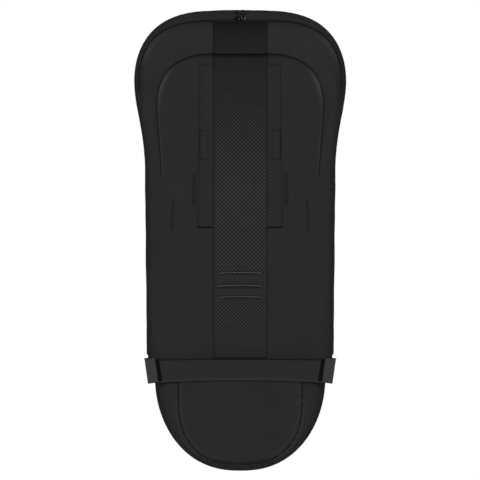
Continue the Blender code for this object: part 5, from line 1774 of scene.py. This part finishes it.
back_rows = [offset_row(pocket_face, column, BACKWARD) for column in (-3, 5)]
edge_rows, hem_rows = [], []
for sign in (-1, 1):
    x = sign * (STRIP_HALF - STRIP_INSET)
    z = np.linspace(STRIP_LOW + 2 * STITCH_END, POCKET_MOUTH - STITCH_END, 240)
    back_rows.append(flat_row(x, strip_depth(z) - STITCH_LIFT, z))
    line, ways = upper_strip_line(x, 30, 30)
    back_rows.append((line + ways * STITCH_LIFT, ways))
    for inset, first in zip(PATCH_INSETS, (0.0, PATCH_SPLIT)):
        share = np.linspace(first, 1.0, 120)
        half = PATCH_HALF_LOW + (PATCH_HALF_TOP - PATCH_HALF_LOW) * share - inset
        z = PATCH_LOW + STITCH_END + (PATCH_HIGH - PATCH_LOW - 2 * STITCH_END) * share
        edge_rows.append(flat_row(sign * half, PATCH_FACE - EDGE_LIFT, z))
    x = sign * np.linspace(STRIP_HALF + STITCH_END, PATCH_HALF_TOP - STITCH_END, 20)
    edge_rows.append(flat_row(x, PATCH_FACE - EDGE_LIFT, PATCH_HIGH - STITCH_END))
    x = sign * np.linspace(STRIP_HALF + STITCH_END, PATCH_HALF_LOW - STITCH_END, 20)
    hem_rows += [flat_row(x, PATCH_FACE, z) for z in PATCH_HEMS]
for hand in ("left", "right"):
    low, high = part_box(f"harness_tab_{hand}")
    near, far = sorted((low.x, high.x), key=abs)
    top_end, low_end = (far + (near - far) * share for share in (0.5, 0.85))
    outer_side = [(top_end, high.z), (far, high.z), (far, low.z), (low_end, low.z)]
    inner_side = [(near, low.z), (near, high.z)]
    for corners, rows in ((outer_side, hem_rows), (inner_side, edge_rows)):
        x, z = even(corners, 60).T
        rows.append(flat_row(x, low.y + TAB_STITCH_SINK, z - TOE))
sewn("back_stitches", back_rows, **TOPSTITCH)
sewn("patch_edge_stitches", edge_rows, **EDGE_STITCH)
sewn("patch_and_tab_hem_shadows", hem_rows, **HEM_AND_SHADE_LINE)
for side, sign, finish in (("upper", 1, BEIGE_THREAD), ("lower", -1, SHADED_BEIGE_THREAD)):
    rows = []
    for ring in (line for name, line in slot_paths.items() if name.startswith("crotch")):
        half = ring[sign * (ring[:, 2] - ring[:, 2].mean()) > -WELD]
        rows.append((half[np.argsort(half[:, 0])], BACKWARD))
    sewn(f"crotch_slot_stitches_{side}", rows, finish=finish, **CROTCH_STITCH)
slot_rows = [(line, BACKWARD) for name, line in slot_paths.items() if name.startswith("harness")]
sewn("harness_slot_stitches", slot_rows, closed=True, **SLOT_STITCH)
for body, sign in (("back", -1), ("cover", 1)):
    x = np.linspace(-BAND_HALF + BAND_STITCH_END, BAND_HALF - BAND_STITCH_END, 120)
    line = dome(x, np.full(len(x), FOLD_LINE + sign * (BAND_REACH - BAND_STITCH_IN)), -BAND_STITCH_LIFT)
    sewn(f"fold_band_stitches_{body}", [(line, -BACKWARD)], body=body, **TOPSTITCH)
cover_rows = [offset_row(cover_face, column, -BACKWARD) for column in (3, -4)]
sewn("cover_stitches", cover_rows, body="cover", closed=True, **TOPSTITCH)

# %% [markdown]
# ## Sizes of the linings and zip tapes
# The flat size and area that each lining was cut to, and the width of each zip tape, are worked out from
# their points.

# %% Cut sizes of the linings and zip tapes
TAPE_IN_SEAM = 0.002


def walk_length(line):
    """Length of a line of points."""
    return float(travelled(line)[-1])


def cut(rings):
    """Flat width, length and area that one layer of a lining was cut to, from its rings of points."""
    spread = np.ptp(rings.reshape(-1, 3), axis=0)
    closed = np.concatenate([rings, rings[:, :1]], axis=1)
    corners = np.cross(np.diff(closed, axis=0)[:, :-1], np.diff(closed, axis=1)[:-1])
    area = float(np.linalg.norm(corners, axis=2).sum())
    return (float(spread[0] + spread[1]), float(spread[2] + spread[1])), area


cover_rings = fleece_face.swapaxes(0, 1)
linings = ((back_lining, lining_rings[1:], "back_panel"), (cover_fleece, cover_rings, "cover_pad"))
for lining, rings, under in linings:
    flat, area = cut(rings)
(_, depth), area = cut(foot_face)
for weave, tape, under in zip_tapes:
    width = walk_length(tape[ZIP_POINTS // 2]) + TAPE_IN_SEAM
low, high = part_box("harness_tab_left")
